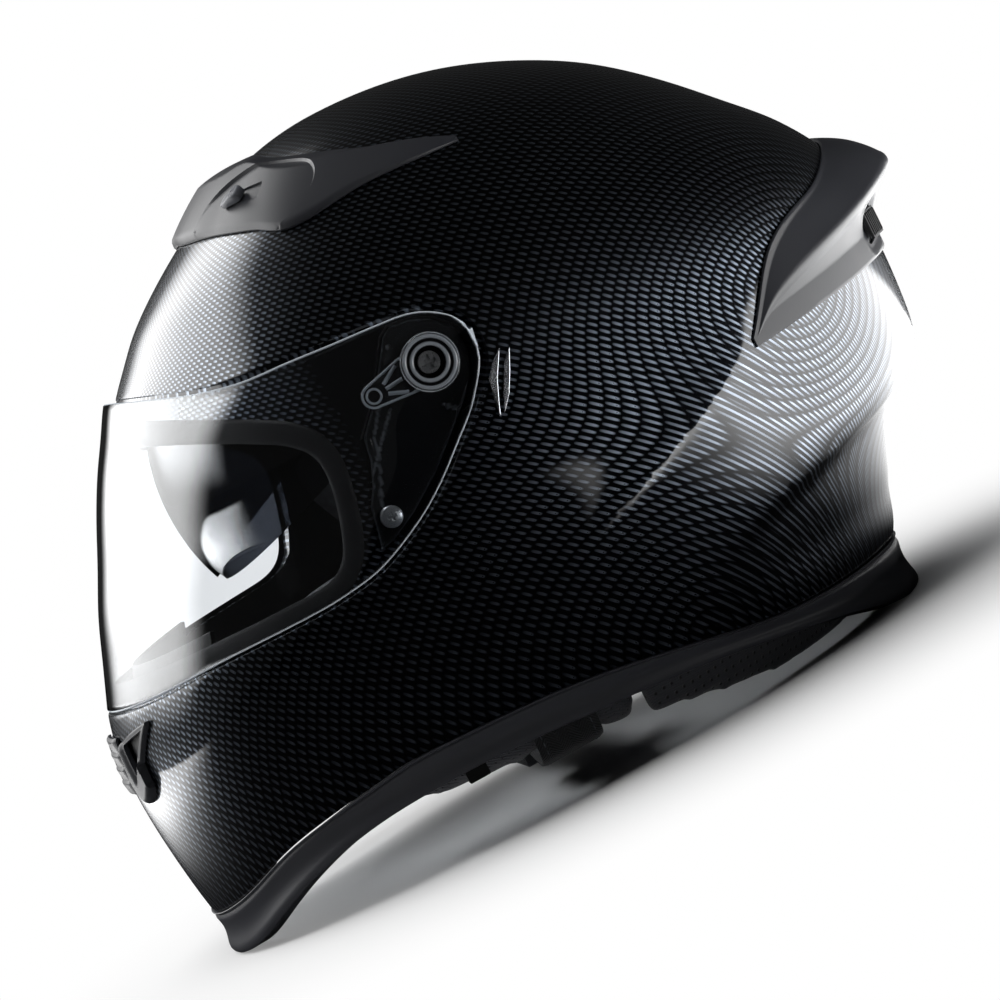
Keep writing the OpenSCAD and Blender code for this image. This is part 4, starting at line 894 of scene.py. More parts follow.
def makeLever(name, side):
    seat = helmet["halfWidth"] - helmet["plateDepth"] + helmet["seatGap"]
    thick, hole = leverLook["plate"], leverLook["endHole"]
    y, z = helmet["pivot"]
    points, faces, ridgeHighlight = [], [], []

    def add(rings, highlight):  # a closed body of rings, its share of painted highlight given ring by ring
        faces.extend(ringFaces(len(rings), len(rings[0]), sum(map(len, points))))
        points.extend(rings)
        ridgeHighlight.extend(value for value in highlight for _ in range(len(rings[0])))
    layers = [(0.25, 0), (0, 0.25), (0, thick - 0.5), (0.1, thick - 0.24), (0.32, thick - 0.06), (0.62, thick),
        (0.95, thick - 0.06), (1.2, thick - 0.28), (1.35, thick - 0.55)]
    outlines = [teardrop(-g) for g, x in layers]
    add([np.column_stack([np.full(len(o), seat + x), o]) for (g, x), o in zip(layers, outlines)],
        [leverLook["highlight"] if 0.2 < g < 1.1 else 0 for g, x in layers])
    top, floor = helmet["halfWidth"] + leverLook["hubProud"], seat + leverLook["screwSeat"] - helmet["seatGap"]
    hub, well = helmet["hubRadius"], leverLook["well"]
    profile = [(seat, hub - 0.3), (seat + 0.3, hub), (top - 0.8, hub), (top - 0.42, hub - 0.11),
        (top - 0.14, hub - 0.38), (top, hub - 0.85), (top - 0.12, hub - 1.35), (top - 0.4, hub - 1.7),
        (top - 0.9, hub - 1.9), (top - 0.9, well + 1.9), (top - 0.6, well + 1.7), (top - 0.35, well + 1.25),
        (top - 0.3, well + 0.8), (top - 0.42, well + 0.35), (top - 0.75, well + 0.08), (top - 1.1, well),
        (floor + 0.2, well), (floor, well - 0.2), (floor, leverLook["screwHole"])]
    add(lathed(profile, helmet["pivot"]), [leverLook["hubHighlight"] if hub - 1.4 < r < hub - 0.3
        or well + 0.3 < r < well + 1.4 else 0 for x, r in profile])
    section = ((0.3, 0.85), (thick - 0.4, 0.78), (thick - 0.15, 0.6), (thick, 0.36), (thick + 0.03, 0.1))
    for spread in leverLook["ribSpread"]:  # ribs that fan out from the small end
        near, far = (np.array([y + dy, z + dz + spread * fan])
            for dy, dz, fan in (leverLook["ribStart"], leverLook["ribEnd"]))
        across = np.array([-(far - near)[1], (far - near)[0]]) / np.linalg.norm(far - near)
        corners = ((near, 1), (far, 1), (far, -1), (near, -1))
        add([np.array([[seat + rise, *(end + across * half * sign)] for end, sign in corners])
            for rise, half in section], [leverLook["highlight"] if half < 0.7 else 0 for rise, half in section])
    collar = [(0.2, 1.0), (thick - 0.1, 1.0), (thick + 0.05, 0.8), (thick + 0.05, 0.2), (thick - 0.1, 0),
        (0.5, -0.1)]
    add(lathed([(seat + x, hole + r) for x, r in collar], (y - leverLook["length"], z - leverLook["drop"]),
        leverLook["endSteps"]),
        [leverLook["highlight"] if i in (2, 3) else 0 for i in range(len(collar))])
    return turnedOut(mesh(name, np.vstack(points) * [side, 1, 1], faces, 40, {"ridgeHighlight": np.array(ridgeHighlight)}))


for side, sign in sides.items():
    dress(makeLever("lever." + side, sign), "lever_" + side, ["lock_lever_" + side],
        finish["mechanism"])


# Base trim: a rolled edge that follows the seam, hollowed on its upper face
trimLook = {"steps": 300, "hollow": 1.3, "lean": 4, "lip": 0.9, "lipAt": 0.06, "lowest": 0.02}


def makeTrim():
    a = np.arange(trimLook["steps"]) * 360 / trimLook["steps"]
    k = seamAngle(a)
    p = shellFace(a, k)
    n = normalOf(shellFace, a, k)
    n[:, 2] = 0
    n /= np.linalg.norm(n, axis=1, keepdims=True)
    top = p[:, 2] - helmet["seatGap"]
    low = np.maximum(hemAt(p[:, 1]), trimLook["lowest"])
    lean = trimLook["lean"] * np.sin(np.radians(a)) ** 2
    proud, wide = helmet["trimProud"], helmet["trimWidth"]
    sections = []

    def add(depth, z):
        point = p * [1, 1, 0] - np.broadcast_to(depth, len(a))[:, None] * n
        point[:, 2] = z
        sections.append(point)
    for depth, drop in ((3, 0), (0.1, 0), (0.35 - proud, 0.02), (0.08 - proud, 0.25)):
        add(depth, top - drop)
    for share in np.linspace(0.06, 0.94, 15):
        bulge = lerp(-proud, lean - proud, ease(share)) + trimLook["hollow"] * np.sin(math.pi * share) ** 1.3
        bulge += trimLook["lip"] * math.exp(-((share - trimLook["lipAt"]) / trimLook["lipAt"]) ** 2)
        add(bulge, lerp(top - 0.4, low + 2.2, share))
    for depth, rise in ((0.05 - proud, 1.6), (0.35 - proud, 0.7), (0.9 - proud, 0.15), (0.9, 0), (wide - 1.6, 0),
            (wide - 0.6, 0.35), (wide - 0.1, 1.2), (wide, 2)):
        add(lean + depth, low + rise)
    add(helmet["wall"] + wide, top)
    return swept("trim.base", np.transpose(np.array(sections), (1, 0, 2))[:, ::-1], sharp=32)


dress(makeTrim(), "shell", ["base_trim"], finish["trim"])


# Rubber seal round the eyeport
sealLook = {"degree": 2.2, "width": 6, "inside": 1.5, "step": 1.6, "crown": 0.62, "ringSteps": 10, "evening": 2,
    "lowTurns": (0, 56, 2.0), "highTurns": (54.0, -0.1, -3), "sunk": 0.4, "foot": 0.25, "fullness": 0.45}


def makeSeal():
    front = np.arange(*sealLook["highTurns"])
    z = np.full(len(front), 180.0)
    for _ in range(6):
        z = eyeport["high"] + eyeport["slope"] * lensFace(front, level(z))[..., 1]
    path = [[a, eyeport["low"]] for a in np.arange(*sealLook["lowTurns"])]
    path += [[float(around(y, level(h), visorFrontAt)), h] for y, h in eyeport["rear"]]
    half = np.vstack([path, np.column_stack([front, z])]) * [sealLook["degree"], 1]
    closed = np.vstack([half, (half * [-1, 1])[-2:0:-1], half[:1]])
    length = np.concatenate([[0], np.cumsum(np.linalg.norm(np.diff(closed, axis=0), axis=1))])
    count = int(length[-1] / sealLook["step"])
    even = np.arange(count) * length[-1] / count
    line = np.column_stack([np.interp(even, length, closed[:, i]) for i in (0, 1)])
    reach = np.arange(-6, 7)
    weight = np.exp(-0.5 * (reach / sealLook["evening"]) ** 2)
    line = sum(np.roll(line, int(r), 0) * w for r, w in zip(reach, weight)) / weight.sum()
    tangent = np.roll(line, -1, 0) - np.roll(line, 1, 0)
    out = np.column_stack([tangent[:, 1], -tangent[:, 0]]) / np.linalg.norm(tangent, axis=1, keepdims=True)
    bottom = helmet["bedDepth"] - helmet["seatGap"] - sealLook["sunk"]
    crown = bottom - helmet["visorWall"] - sealLook["crown"]
    ring = []
    for share in np.linspace(0, 1, sealLook["ringSteps"] + 1):
        rise = crown * math.sin(math.pi * share) ** sealLook["fullness"]
        ring.append((lerp(-sealLook["inside"], sealLook["width"], share), bottom - sealLook["foot"] - rise))
    ring += [(sealLook["width"], bottom), (-sealLook["inside"], bottom)]
    places = [(line + out * w, d) for w, d in ring]
    sections = [inset(lensFace, at[:, 0] / sealLook["degree"], level(at[:, 1]), np.full(count, d))
        for at, d in places]
    return swept("seal.eyeport", np.transpose(np.array(sections), (1, 0, 2)), sharp=50)


dress(makeSeal(), "shell", ["eyeport_gasket"], finish["seal"])


def boxDistance(x, y, halfX, halfY):  # signed distance to a box about the origin, negative inside
    dx, dy = np.abs(x) - halfX, np.abs(y) - halfY
    return np.minimum(np.maximum(dx, dy), 0) + np.hypot(np.maximum(dx, 0), np.maximum(dy, 0))


def coverOn(name, sheet, keep, rise, sharp):  # a cover that stands on the shell, its top rise above its seat
    outer, inner = (inset(shellFace, *sheet["p"].T, -helmet["seatGap"] - up) for up in (rise, 0))
    return closedSheet(name, sheet, keep, outer, inner, sharp=sharp)


# Brow vent cover: wraps the forehead, with a crease along it and a sunk place round each slider
browLook = {"end": 106, "height": 6, "columns": 132, "rows": 40, "slider": (40, 56.5), "sliderSize": (6, 11, 2.6),
    "travel": 7, "pocket": 3, "recess": 1.1, "evening": 1.6, "least": 0.25, "clear": 0.3, "thinnest": 0.6,
    "lowEdge": 0.42, "highEdge": 0.1, "arcAt": (50, 52.5), "arcSize": (24, 9.5), "arcScale": 14,
    "sunkBetween": (24, 90, 14), "lowRound": 0.035, "highRound": 0.03, "lowering": 0.75}
browLow = [[0, 54.4], [32, 52.2], [54, 47.7], [66, 43.4], [86, 44.6], [98, 43.6], [106, 42.8]]
browHigh = [[0, 75], [30, 73.5], [59, 65.6], [81, 57.7], [92, 51.5], [100, 47.4], [106, 43.8]]
browCrease = [[0, 0.52], [30, 0.56], [46, 0.74], [60, 0.68], [80, 0.66], [98, 0.86], [106, 0.93]]


def makeBrow():
    look, least = browLook, browLook["least"]
    turns = np.linspace(0, look["end"], look["columns"] + 1)
    low, high = evened(browLow, look["evening"]), evened(browHigh, look["evening"])
    sheet = halfSheet(turns, low(turns), np.maximum(high(turns), low(turns) + least), look["rows"])
    origin, down, flat, _ = surfaceFrame(*look["slider"], -helmet["seatGap"] - look["height"] / 2)
    halfWide, halfLong = look["sliderSize"][0] / 2, (look["sliderSize"][1] + look["travel"]) / 2

    def share(p):
        return (p[:, 1] - low(p[:, 0])) / np.maximum(high(p[:, 0]) - low(p[:, 0]), least)

    def pocket(p):  # distance to the slider's slot
        f = shellFace(*p.T) - origin
        return boxDistance(f @ down, f @ flat - halfLong, halfWide + look["clear"], halfLong + look["clear"])

    def arc(p):  # edge of the sunk place
        return (np.linalg.norm((p - look["arcAt"]) / look["arcSize"], axis=1) - 1) * look["arcScale"]
    cutAlong(sheet, lambda p: share(p) - along(browCrease, p[:, 0]))
    cutLevels(sheet, arc, (0, 0.5))
    cutLevels(sheet, pocket, (0, 0.3))
    p = sheet["p"]
    u, v = p[:, 0] / look["end"], share(p)
    crease = along(browCrease, p[:, 0])
    lower = lerp(look["lowEdge"], 1.0, np.clip(v / crease, 0, 1) ** 0.75)
    upper = lerp(1.0, look["highEdge"], np.clip((v - crease) / (1 - crease), 0, 1) ** 1.25)
    rise = look["height"] * np.where(v < crease, lower, upper) * (1 - look["lowering"] * u ** 4)
    rise *= np.sqrt(np.clip(v / look["lowRound"], 0.12, 1) * np.clip((1 - v) / look["highRound"], 0.25, 1))
    sunk = look["recess"] * ease(-(arc(p) - 0.5) / 0.5) * bump(p[:, 0], *look["sunkBetween"])
    rise = np.maximum(rise - sunk, look["thinnest"])
    floor = np.minimum(rise, look["height"] - look["pocket"])
    rise = lerp(floor, rise, np.clip(pocket(p) / 0.3, 0, 1))
    return coverOn("vent.brow", sheet, slice(None), rise, 26)


dress(makeBrow(), "shell", ["brow_vent_cover"], finish["vent"])


# Rear spoiler: a hollow lower face, a knife ridge and a top face that falls back, with a scoop in each side
spoilerLook = {"start": 125, "reach": 17, "columns": 92, "rows": 60, "slot": (163, -14), "slotSize": (11, 22),
    "slotCorner": 1.5, "slotLean": 0.12, "evening": 1.5, "least": 0.5, "flatTop": 1.12, "knife": 0.012,
    "edge": 1.2, "thinnest": 0.9, "bowl": 2.6, "bowlReach": 3.6, "bowlRun": 3.4,
    "lip": 0.5, "lipBetween": (3.3, 5.2, 0.7), "edgeRound": 0.03, "scoopFrom": 6, "topRun": 0.12}
spoilerLow = [[125, -22.6], [140, -21.6], [160, -20.2], [180, -19.7]]
spoilerRidge = [[125, -21.6], [130, -16.4], [150, -10.5], [168, -6.4], [180, -5.9]]
spoilerHigh = [[125, -20.6], [134, -6.6], [150, -1], [163, 3], [180, 5.5]]
spoilerOut = [[125, 0.06], [135, 0.24], [150, 0.45], [163, 0.72], [175, 0.97], [180, 1]]
spoilerSteps = [[0, 0.07], [0.45, 0.12], [0.85, 0.55], [1, 0.9], [1.12, 1], [1.5, 0.62], [2, 0.06]]


def makeSpoiler():
    look, least, flatTop = spoilerLook, spoilerLook["least"], spoilerLook["flatTop"]
    turns = 180 - (180 - look["start"]) * np.linspace(1, 0, look["columns"] + 1) ** 0.85
    low, mid, high = (evened(line, look["evening"]) for line in (spoilerLow, spoilerRidge, spoilerHigh))
    sheet = halfSheet(turns, low(turns), np.maximum(high(turns), low(turns) + least), look["rows"])
    origin, down, flat, _ = surfaceFrame(*look["slot"], -1.6)

    def step(p):  # 0 at the lower edge, 1 at the ridge, 2 at the upper edge
        a, k = p.T
        l, h = low(a), np.maximum(high(a), low(a) + least)
        m = np.clip(mid(a), l + 0.2, h - 0.2)
        return np.where(k < m, (k - l) / (m - l), 1 + (k - m) / (h - m))

    def slot(p):
        f = shellFace(*p.T) - origin
        halves = np.array(look["slotSize"]) / 2 - look["slotCorner"]
        return boxDistance(f @ down + look["slotLean"] * (f @ flat), f @ flat, *halves) - look["slotCorner"]
    cutLevels(sheet, step, (1.0, 1.06, flatTop))
    cutLevels(sheet, slot, (0, 0.5, look["bowlReach"]))
    p = sheet["p"]
    s, gap = step(p), slot(p)
    fine = np.arange(-0.2, 2.21, 0.005)
    table = along(spoilerSteps, np.clip(fine, 0, 2))
    table = np.where(fine > flatTop, lerp(1, table, np.clip((fine - flatTop) / look["topRun"], 0, 1)), table)
    weight = np.exp(-0.5 * (np.arange(-0.03, 0.0301, 0.005) / look["knife"]) ** 2)
    profile = np.convolve(table, weight / weight.sum(), mode="same")
    rise = look["reach"] * evened(spoilerOut, look["evening"])(p[:, 0]) * np.interp(s, fine, profile)
    rise = np.maximum(look["edge"], rise)
    rise *= np.sqrt(np.clip(np.minimum(s, 2 - s) / look["edgeRound"], 0.15, 1))
    scoop = look["bowl"] * ease((look["bowlReach"] - gap) / look["bowlRun"]) ** 1.3
    scoop -= look["lip"] * bump(gap, *look["lipBetween"])
    rise = np.maximum(rise - scoop * np.clip(rise / look["scoopFrom"], 0, 1), look["thinnest"])
    return coverOn("spoiler.rear", sheet, slot(p[sheet["t"]].mean(1)) > 0, rise, 30)


dress(makeSpoiler(), "shell", ["rear_spoiler"], finish["vent"])


# Chin vent frames: three-cornered, rounded, with a deep bevel round the opening
chinLook = {"start": 9.5, "end": 29.5, "height": 3.4, "columns": 72, "rows": 56, "bandFrom": 38, "band": 2.2,
    "frame": 1, "degree": 2.6, "round": 3.2, "bevel": 1.5, "bevelReach": 2.2}
chinLow = [[9.5, 78], [11, 68], [13, 64.5], [17.5, 70.8], [23.5, 80.5], [29.5, 89.8]]
chinHigh = [[9.5, 88], [18, 91.5], [27, 93.6], [29.5, 93]]


def makeChinVents():
    look, band = chinLook, chinLook["band"]
    turns = np.linspace(look["start"], look["end"], look["columns"] + 1)
    sheet = halfSheet(turns, level(along(chinLow, turns)), level(along(chinHigh, turns)), look["rows"])

    def opening(p):
        return chinEdge(*shellFace(*p.T)[:, [0, 2]].T) + look["frame"]
    cutLevels(sheet, opening, (0, 0.5, look["bevelReach"], band))
    a, k = sheet["p"].T
    z, gap = height(k), opening(sheet["p"])
    ends = np.minimum(a - look["start"], look["end"] - a) * look["degree"]
    edge = np.min([z - along(chinLow, a), along(chinHigh, a) - z, ends], axis=0)
    edge = np.where(shellFace(a, k)[:, 0] > look["bandFrom"], np.minimum(edge, band - gap), edge)
    slope = np.clip(edge / look["round"], 0, 1)
    rise = look["height"] * (0.1 + 0.9 * np.sqrt(slope * (2 - slope)))
    rise -= look["bevel"] * ease((look["bevelReach"] - gap) / look["bevelReach"])
    centre = sheet["p"][sheet["t"]].mean(1)
    gap = opening(centre)
    keep = (gap > 0) & ((gap < band) | (shellFace(*centre.T)[:, 0] < look["bandFrom"]))
    return coverOn("vent.chin", sheet, keep, rise, 34)


dress(makeChinVents(), "shell", ["chin_vent_left", "chin_vent_right"], finish["vent"])


# Repeated things by Geometry Nodes
def newTree(name, inputs):  # a group with these inputs: name, kind and value
    tree = bpy.data.node_groups.new(name, "GeometryNodeTree")
    for label, kind, value in inputs:
        socket = tree.interface.new_socket(label, in_out="INPUT", socket_type="NodeSocket" + kind)
        if value is not None:
            socket.default_value = value
    tree.interface.new_socket("Geometry", in_out="OUTPUT", socket_type="NodeSocketGeometry")
    return tree, addNode(tree, "NodeGroupInput").outputs


def layOut(tree, inputs, material):  # instances on points, made real and painted, leave the tree
    many = addNode(tree, "GeometryNodeInstanceOnPoints", inputs)
    real = addNode(tree, "GeometryNodeRealizeInstances", {0: many})
    painted = addNode(tree, "GeometryNodeSetMaterial", {"Geometry": real, "Material": material})
    addNode(tree, "NodeGroupOutput", {0: painted})
    return tree


def barTree(name, material):  # a row of rounded bars, spaced along one line
    tree, given = newTree(name, (("Count", "Int", 5), ("Start", "Vector", (0, 0, 0)),
        ("Step", "Vector", (0, 0, 0.003)), ("Bar size", "Vector", (0.01, 0.001, 0.001))))
    line = addNode(tree, "GeometryNodeMeshLine", {"Count": given["Count"], "Start Location": given["Start"],
        "Offset": given["Step"]})
    bar = addNode(tree, "GeometryNodeMeshCube", {"Size": given["Bar size"], "Vertices X": 5, "Vertices Y": 3,
        "Vertices Z": 3})
    place = addNode(tree, "GeometryNodeInputPosition")
    scaled = addNode(tree, "VectorMath", {0: place, 1: given["Bar size"]}, operation="DIVIDE")
    double = addNode(tree, "VectorMath", {0: scaled, "Scale": 2.0}, operation="SCALE")
    away = addNode(tree, "VectorMath", {0: double}, operation="LENGTH").outputs["Value"]
    ratio = addNode(tree, "MapRange", {0: away, 1: 1.0, 2: 1.75, 3: 1.0, 4: 0.86})
    pulled = addNode(tree, "VectorMath", {0: place, "Scale": ratio}, operation="SCALE")
    rounded = addNode(tree, "GeometryNodeSetPosition", {"Geometry": bar, "Position": pulled})
    return layOut(tree, {"Points": line, "Instance": rounded}, material)


def takeMesh(piece):  # the modifiers' result becomes the piece's own mesh
    bpy.context.view_layer.update()
    made = bpy.data.meshes.new_from_object(piece.evaluated_get(bpy.context.evaluated_depsgraph_get()))
    piece.modifiers.clear()
    piece.data = made
    return made


def fromTree(name, tree, values, source=None):  # the tree's result as a plain mesh
    piece = addObject(name, source or bpy.data.meshes.new(name + ".source"))
    modifier = piece.modifiers.new("nodes", "NODES")
    modifier.node_group = tree
    for item in tree.interface.items_tree:
        if item.in_out == "INPUT" and item.name in values:
            modifier[item.identifier] = values[item.name]
    smooth(takeMesh(piece), 40)
    return piece


def stand(piece, origin, axes):  # turns a piece made at the origin to lie on a surface, in its mesh
    m = Matrix(np.array(axes).T.tolist()).to_4x4()
    m.translation = Vector(placed(origin))
    piece.data.transform(m)
    if m.determinant() < 0:
        piece.data.flip_normals()


def mirror(piece):  # makes a left piece a right one
    piece.data.transform(Matrix.Diagonal((-1, 1, 1, 1)))
    piece.data.flip_normals()
    return piece


def joined(name, pieces):
    data = bpy.data.meshes.new(name)
    work = bmesh.new()
    for piece in pieces:
        work.from_mesh(piece.data)
    work.to_mesh(data)
    work.free()
    for material in pieces[0].data.materials:
        data.materials.append(material)
    for piece in pieces:
        bpy.data.objects.remove(piece)
    return addObject(name, data)


# Chin shutter: a curved plate with louvres that catch the light
shutterLook = {"low": 69, "high": 90, "turn": 6.5, "gap": 0.7, "louvres": 4, "blade": 0.9, "rows": 84,
    "columns": 28, "plate": 1.0, "climb": 0.72, "fall": 0.2, "side": 0.12, "sideHeight": 0.45, "thinnest": 0.4}


def makeShutter():
    look, gap = shutterLook, -shutterLook["gap"]
    share = np.linspace(0, 1, look["rows"] + 1)[:, None]
    a = np.linspace(-look["turn"], look["turn"], look["columns"] + 1)[None, :]
    wave = (share * look["louvres"]) % 1
    blade = np.clip(np.minimum(wave / look["climb"], (1 - wave) / look["fall"]), 0, 1) ** 0.8
    side = np.clip((1 - np.abs(a) / look["turn"]) / look["side"], 0, 1) ** 0.5
    rise = (look["plate"] + look["blade"] * blade) * lerp(look["sideHeight"], 1, side)
    k = level(lerp(look["low"], look["high"], share))
    return gridSolid("vent.shutter", inset(shellFace, a, k, gap - np.maximum(rise, look["thinnest"])),
        inset(shellFace, a, k, gap), sharp=35)


dress(makeShutter(), "shutter", ["chin_shutter"], finish["vent"])

# Grille bars in front of the exhaust plates
exhaustLook = {"proud": 3.2, "Count": 6, "Start": (-0.0085, 0, 0), "Step": (0.0034, 0, 0),
    "Bar size": (0.0009, 0.0092, 0.001)}


def makeExhaustBars():
    origin, down, flat, out = surfaceFrame(*spoilerLook["slot"], -exhaustLook["proud"])
    bars = fromTree("grille.exhaust.left", barTree("darkBars", finish["dark"]), exhaustLook)
    stand(bars, origin, (flat, -down, out))
    return joined("grille.exhaust", [bars, mirror(addObject("grille.exhaust.right", bars.data.copy()))])


dress(makeExhaustBars(), "shell", [])
print("vents done")


# Sun visor: a smoked shell of revolution about its pins, with a nose cut-out
sunLook = {"radius": 79, "halfWidth": 98, "wall": 1.8, "pivot": (-30, 150), "low": -21, "high": 27, "bow": 0.77,
    "nose": (110, 24), "boss": 8, "pin": 3.06, "bossSteps": 48, "columns": 90, "rows": 36}


def sunFace(t, e, depth=0):  # t across from the middle, e up from level, in degrees
    t, e = np.radians(t), np.radians(e)
    r = (sunLook["radius"] - depth) * np.cos(t) ** sunLook["bow"]
    x = (sunLook["halfWidth"] - depth) * np.sin(t) ** sunLook["bow"]
    return np.stack([x, sunLook["pivot"][0] - r * np.cos(e), sunLook["pivot"][1] + r * np.sin(e)], -1)


def makeSun():
    look = sunLook
    sheet = halfSheet(np.linspace(0, 89.0, look["columns"]), look["low"], look["high"], look["rows"], face=sunFace)

    def nose(p):
        f = sunFace(*p.T)
        return np.hypot(f[:, 0], f[:, 2] - look["nose"][0]) - look["nose"][1]
    cutLevels(sheet, nose, (0, 0.6))
    keep = nose(sheet["p"][sheet["t"]].mean(1)) > 0
    pieces = [closedSheet("sun.lens", sheet, keep, *(sunFace(*sheet["p"].T, d) for d in (0, look["wall"])))]
    low, top, pin, boss = look["halfWidth"] - look["wall"], look["halfWidth"], look["pin"], look["boss"]
    rings = lathed([(low - 1, pin), (low - 1, boss - 0.4), (low - 0.6, boss), (top + 0.5, boss),
        (top + 1, boss - 0.5), (top + 1, pin)], look["pivot"], look["bossSteps"])
    pieces += [swept("sun.boss", rings * [side, 1, 1], sharp=40) for side in sides.values()]
    sun = joined("sun.visor", pieces)
    smooth(sun.data, 36)
    return sun


dress(makeSun(), "sun_visor_body", ["sun_visor"], finish["smoke"])


# Straps: nylon webbing, hung from its anchor to the buckle
strapLook = {"y": -30, "width": 24, "thickness": 2, "across": 15, "edge": 0.07, "spacing": 1.5}
strapHang = [[116.2, 69], [115.9, 62], [114.8, 55], [112, 50], [107.4, 46.5], [103, 43], [101, 37.5], [100.4, 30],
    [99.4, 22], [95.8, 17.2], [87, 15]]
strapEnds = {"left": [[76, 16.8], [65.3, 19.7]],
    "right": [[68, 15.2], [49, 17], [30, 18.5], [11, 19.3], [-8, 19.5]]}


def strapLine(side):  # evenly spaced points across the helmet and up, their normals and the length run
    p = np.array(strapHang + strapEnds[side], float)
    t = np.concatenate([[0], np.cumsum(np.linalg.norm(np.diff(p, axis=0), axis=1))])
    fine = np.linspace(0, t[-1], 600)
    line = np.column_stack([along(np.column_stack([t, v]), fine) for v in p.T])
    length = np.concatenate([[0], np.cumsum(np.linalg.norm(np.diff(line, axis=0), axis=1))])
    run = np.linspace(0, length[-1], int(length[-1] / strapLook["spacing"]))
    line = np.column_stack([np.interp(run, length, v) for v in line.T])
    d = np.gradient(line, axis=0)
    return line, np.column_stack([-d[:, 1], d[:, 0]]) / np.linalg.norm(d, axis=1, keepdims=True), run


def makeStrap(side):
    line, normal, run = strapLine(side)
    across = np.linspace(-1, 1, strapLook["across"])
    edge = np.sqrt(np.clip((1 - np.abs(across)) / strapLook["edge"], 0.12, 1))
    half = strapLook["width"] / 2
    w = half * np.concatenate([across, across[::-1]])
    h = strapLook["thickness"] / 2 * np.concatenate([edge, -edge[::-1]])
    at = line[:, None] + normal[:, None] * h[:, None]
    rings = np.stack(np.broadcast_arrays(sides[side] * at[..., 0], strapLook["y"] + w, at[..., 1]), -1)
    knit = np.stack(np.broadcast_arrays(run[:, None], w + half, 0.0), -1)
    return swept("strap." + side, rings, False, 50, {"knit": knit.reshape(-1, 3)})


for side in sides:
    dress(makeStrap(side), "shell", ["strap_" + side], finish["webbing"])


# Stitches: short rounded threads laid along both edges of each strap at an even pitch, sizes in metres
stitchLook = {"aside": 9.3, "Pitch": 0.0032, "Length": 0.0022, "Thread": 0.00045}


def stitchTree(name, material):
    tree, given = newTree(name, (("Geometry", "Geometry", None), ("Pitch", "Float", 0.003),
        ("Length", "Float", 0.0021), ("Thread", "Float", 0.00035)))
    curve = addNode(tree, "GeometryNodeMeshToCurve", {"Mesh": given["Geometry"]})
    spaced = addNode(tree, "GeometryNodeResampleCurve", {"Curve": curve, "Length": given["Pitch"]}, mode="LENGTH")
    tangent = addNode(tree, "GeometryNodeInputTangent")
    aligned = addNode(tree, "FunctionNodeAlignRotationToVector", {"Vector": tangent}, axis="Z")
    thread = addNode(tree, "GeometryNodeMeshUVSphere", {"Segments": 6, "Rings": 5, "Radius": 0.5})
    size = addNode(tree, "CombineXYZ", {0: given["Thread"], 1: given["Thread"], 2: given["Length"]})
    return layOut(tree, {"Points": spaced, "Instance": thread, "Rotation": aligned, "Scale": size}, material)


threads = stitchTree("stitchRun", finish["thread"])


def strapStitches(side):
    line, normal, _ = strapLine(side)
    points, edges = [], []
    for face in (1, -1):
        x, z = (line + face * normal * strapLook["thickness"] / 2).T
        for aside in (-stitchLook["aside"], stitchLook["aside"]):
            edges += [(len(points) + i, len(points) + i + 1) for i in range(len(line) - 1)]
            y = np.full(len(line), strapLook["y"] + aside)
            points += placed(np.column_stack([sides[side] * x, y, z])).tolist()
    data = bpy.data.meshes.new("strap.line." + side)
    data.from_pydata(points, edges, [])
    return fromTree("strap.stitches." + side, threads, stitchLook, data)


for side in sides:
    dress(strapStitches(side), "shell", [])


# Lower screws of the base plates: low domed heads with a cross recess
screwLook = {"at": (-50.35, 118.9), "radius": 3.9, "outer": 120.6, "bottom": 117.0, "dome": 0.9, "cross": 0.45,
    "reach": 1.7, "recess": 0.9, "steps": 72}
screwRings = (1, 0.97, 0.9, 0.8, 0.7, 0.6, 0.5, 0.44, 0.4, 0.34, 0.28, 0.22, 0.17, 0.12, 0.08, 0.04)


def makeScrewHead(side):
    look, t = screwLook, np.arange(screwLook["steps"]) * 2 * math.pi / screwLook["steps"]
    loops = []
    for share in (1, *screwRings):
        u, v = look["radius"] * share * np.cos(t), look["radius"] * share * np.sin(t)
        x = look["outer"] - look["dome"] * (1 - math.sqrt(1 - 0.98 * share ** 2))
        arm = ease((look["cross"] + 0.12 - np.minimum(np.abs(u), np.abs(v))) / 0.24)
        arm *= ease((look["reach"] - share * look["radius"]) / 0.2)
        loops.append(np.column_stack([x - look["recess"] * arm, look["at"][0] + u, look["at"][1] + v]))
    loops[0][:, 0] = look["bottom"]
    return swept("screw.base." + side, loops * np.array([sides[side], 1, 1]), sharp=40)


dress(joined("screws.base", [makeScrewHead(side) for side in sides]), "shell", ["base_screws"],
    finish["steel"])


# Brow vent sliders: a wedge that rises to three low grip ridges
sliderLook = {"steps": 96, "squareness": 0.45, "low": 2.0, "proud": 0.9, "grip": 0.3, "gripPitch": 1.5,
    "gripAt": 7.2, "gripFrom": 5.6, "gripTo": 10.4}
sliderRings = ((0.25, 0), (0, 0.12), (0, 0.72), (0.12, 0.88), (0.4, 0.97), (0.8, 1), (1.5, 1), (2.2, 1), (2.9, 1))


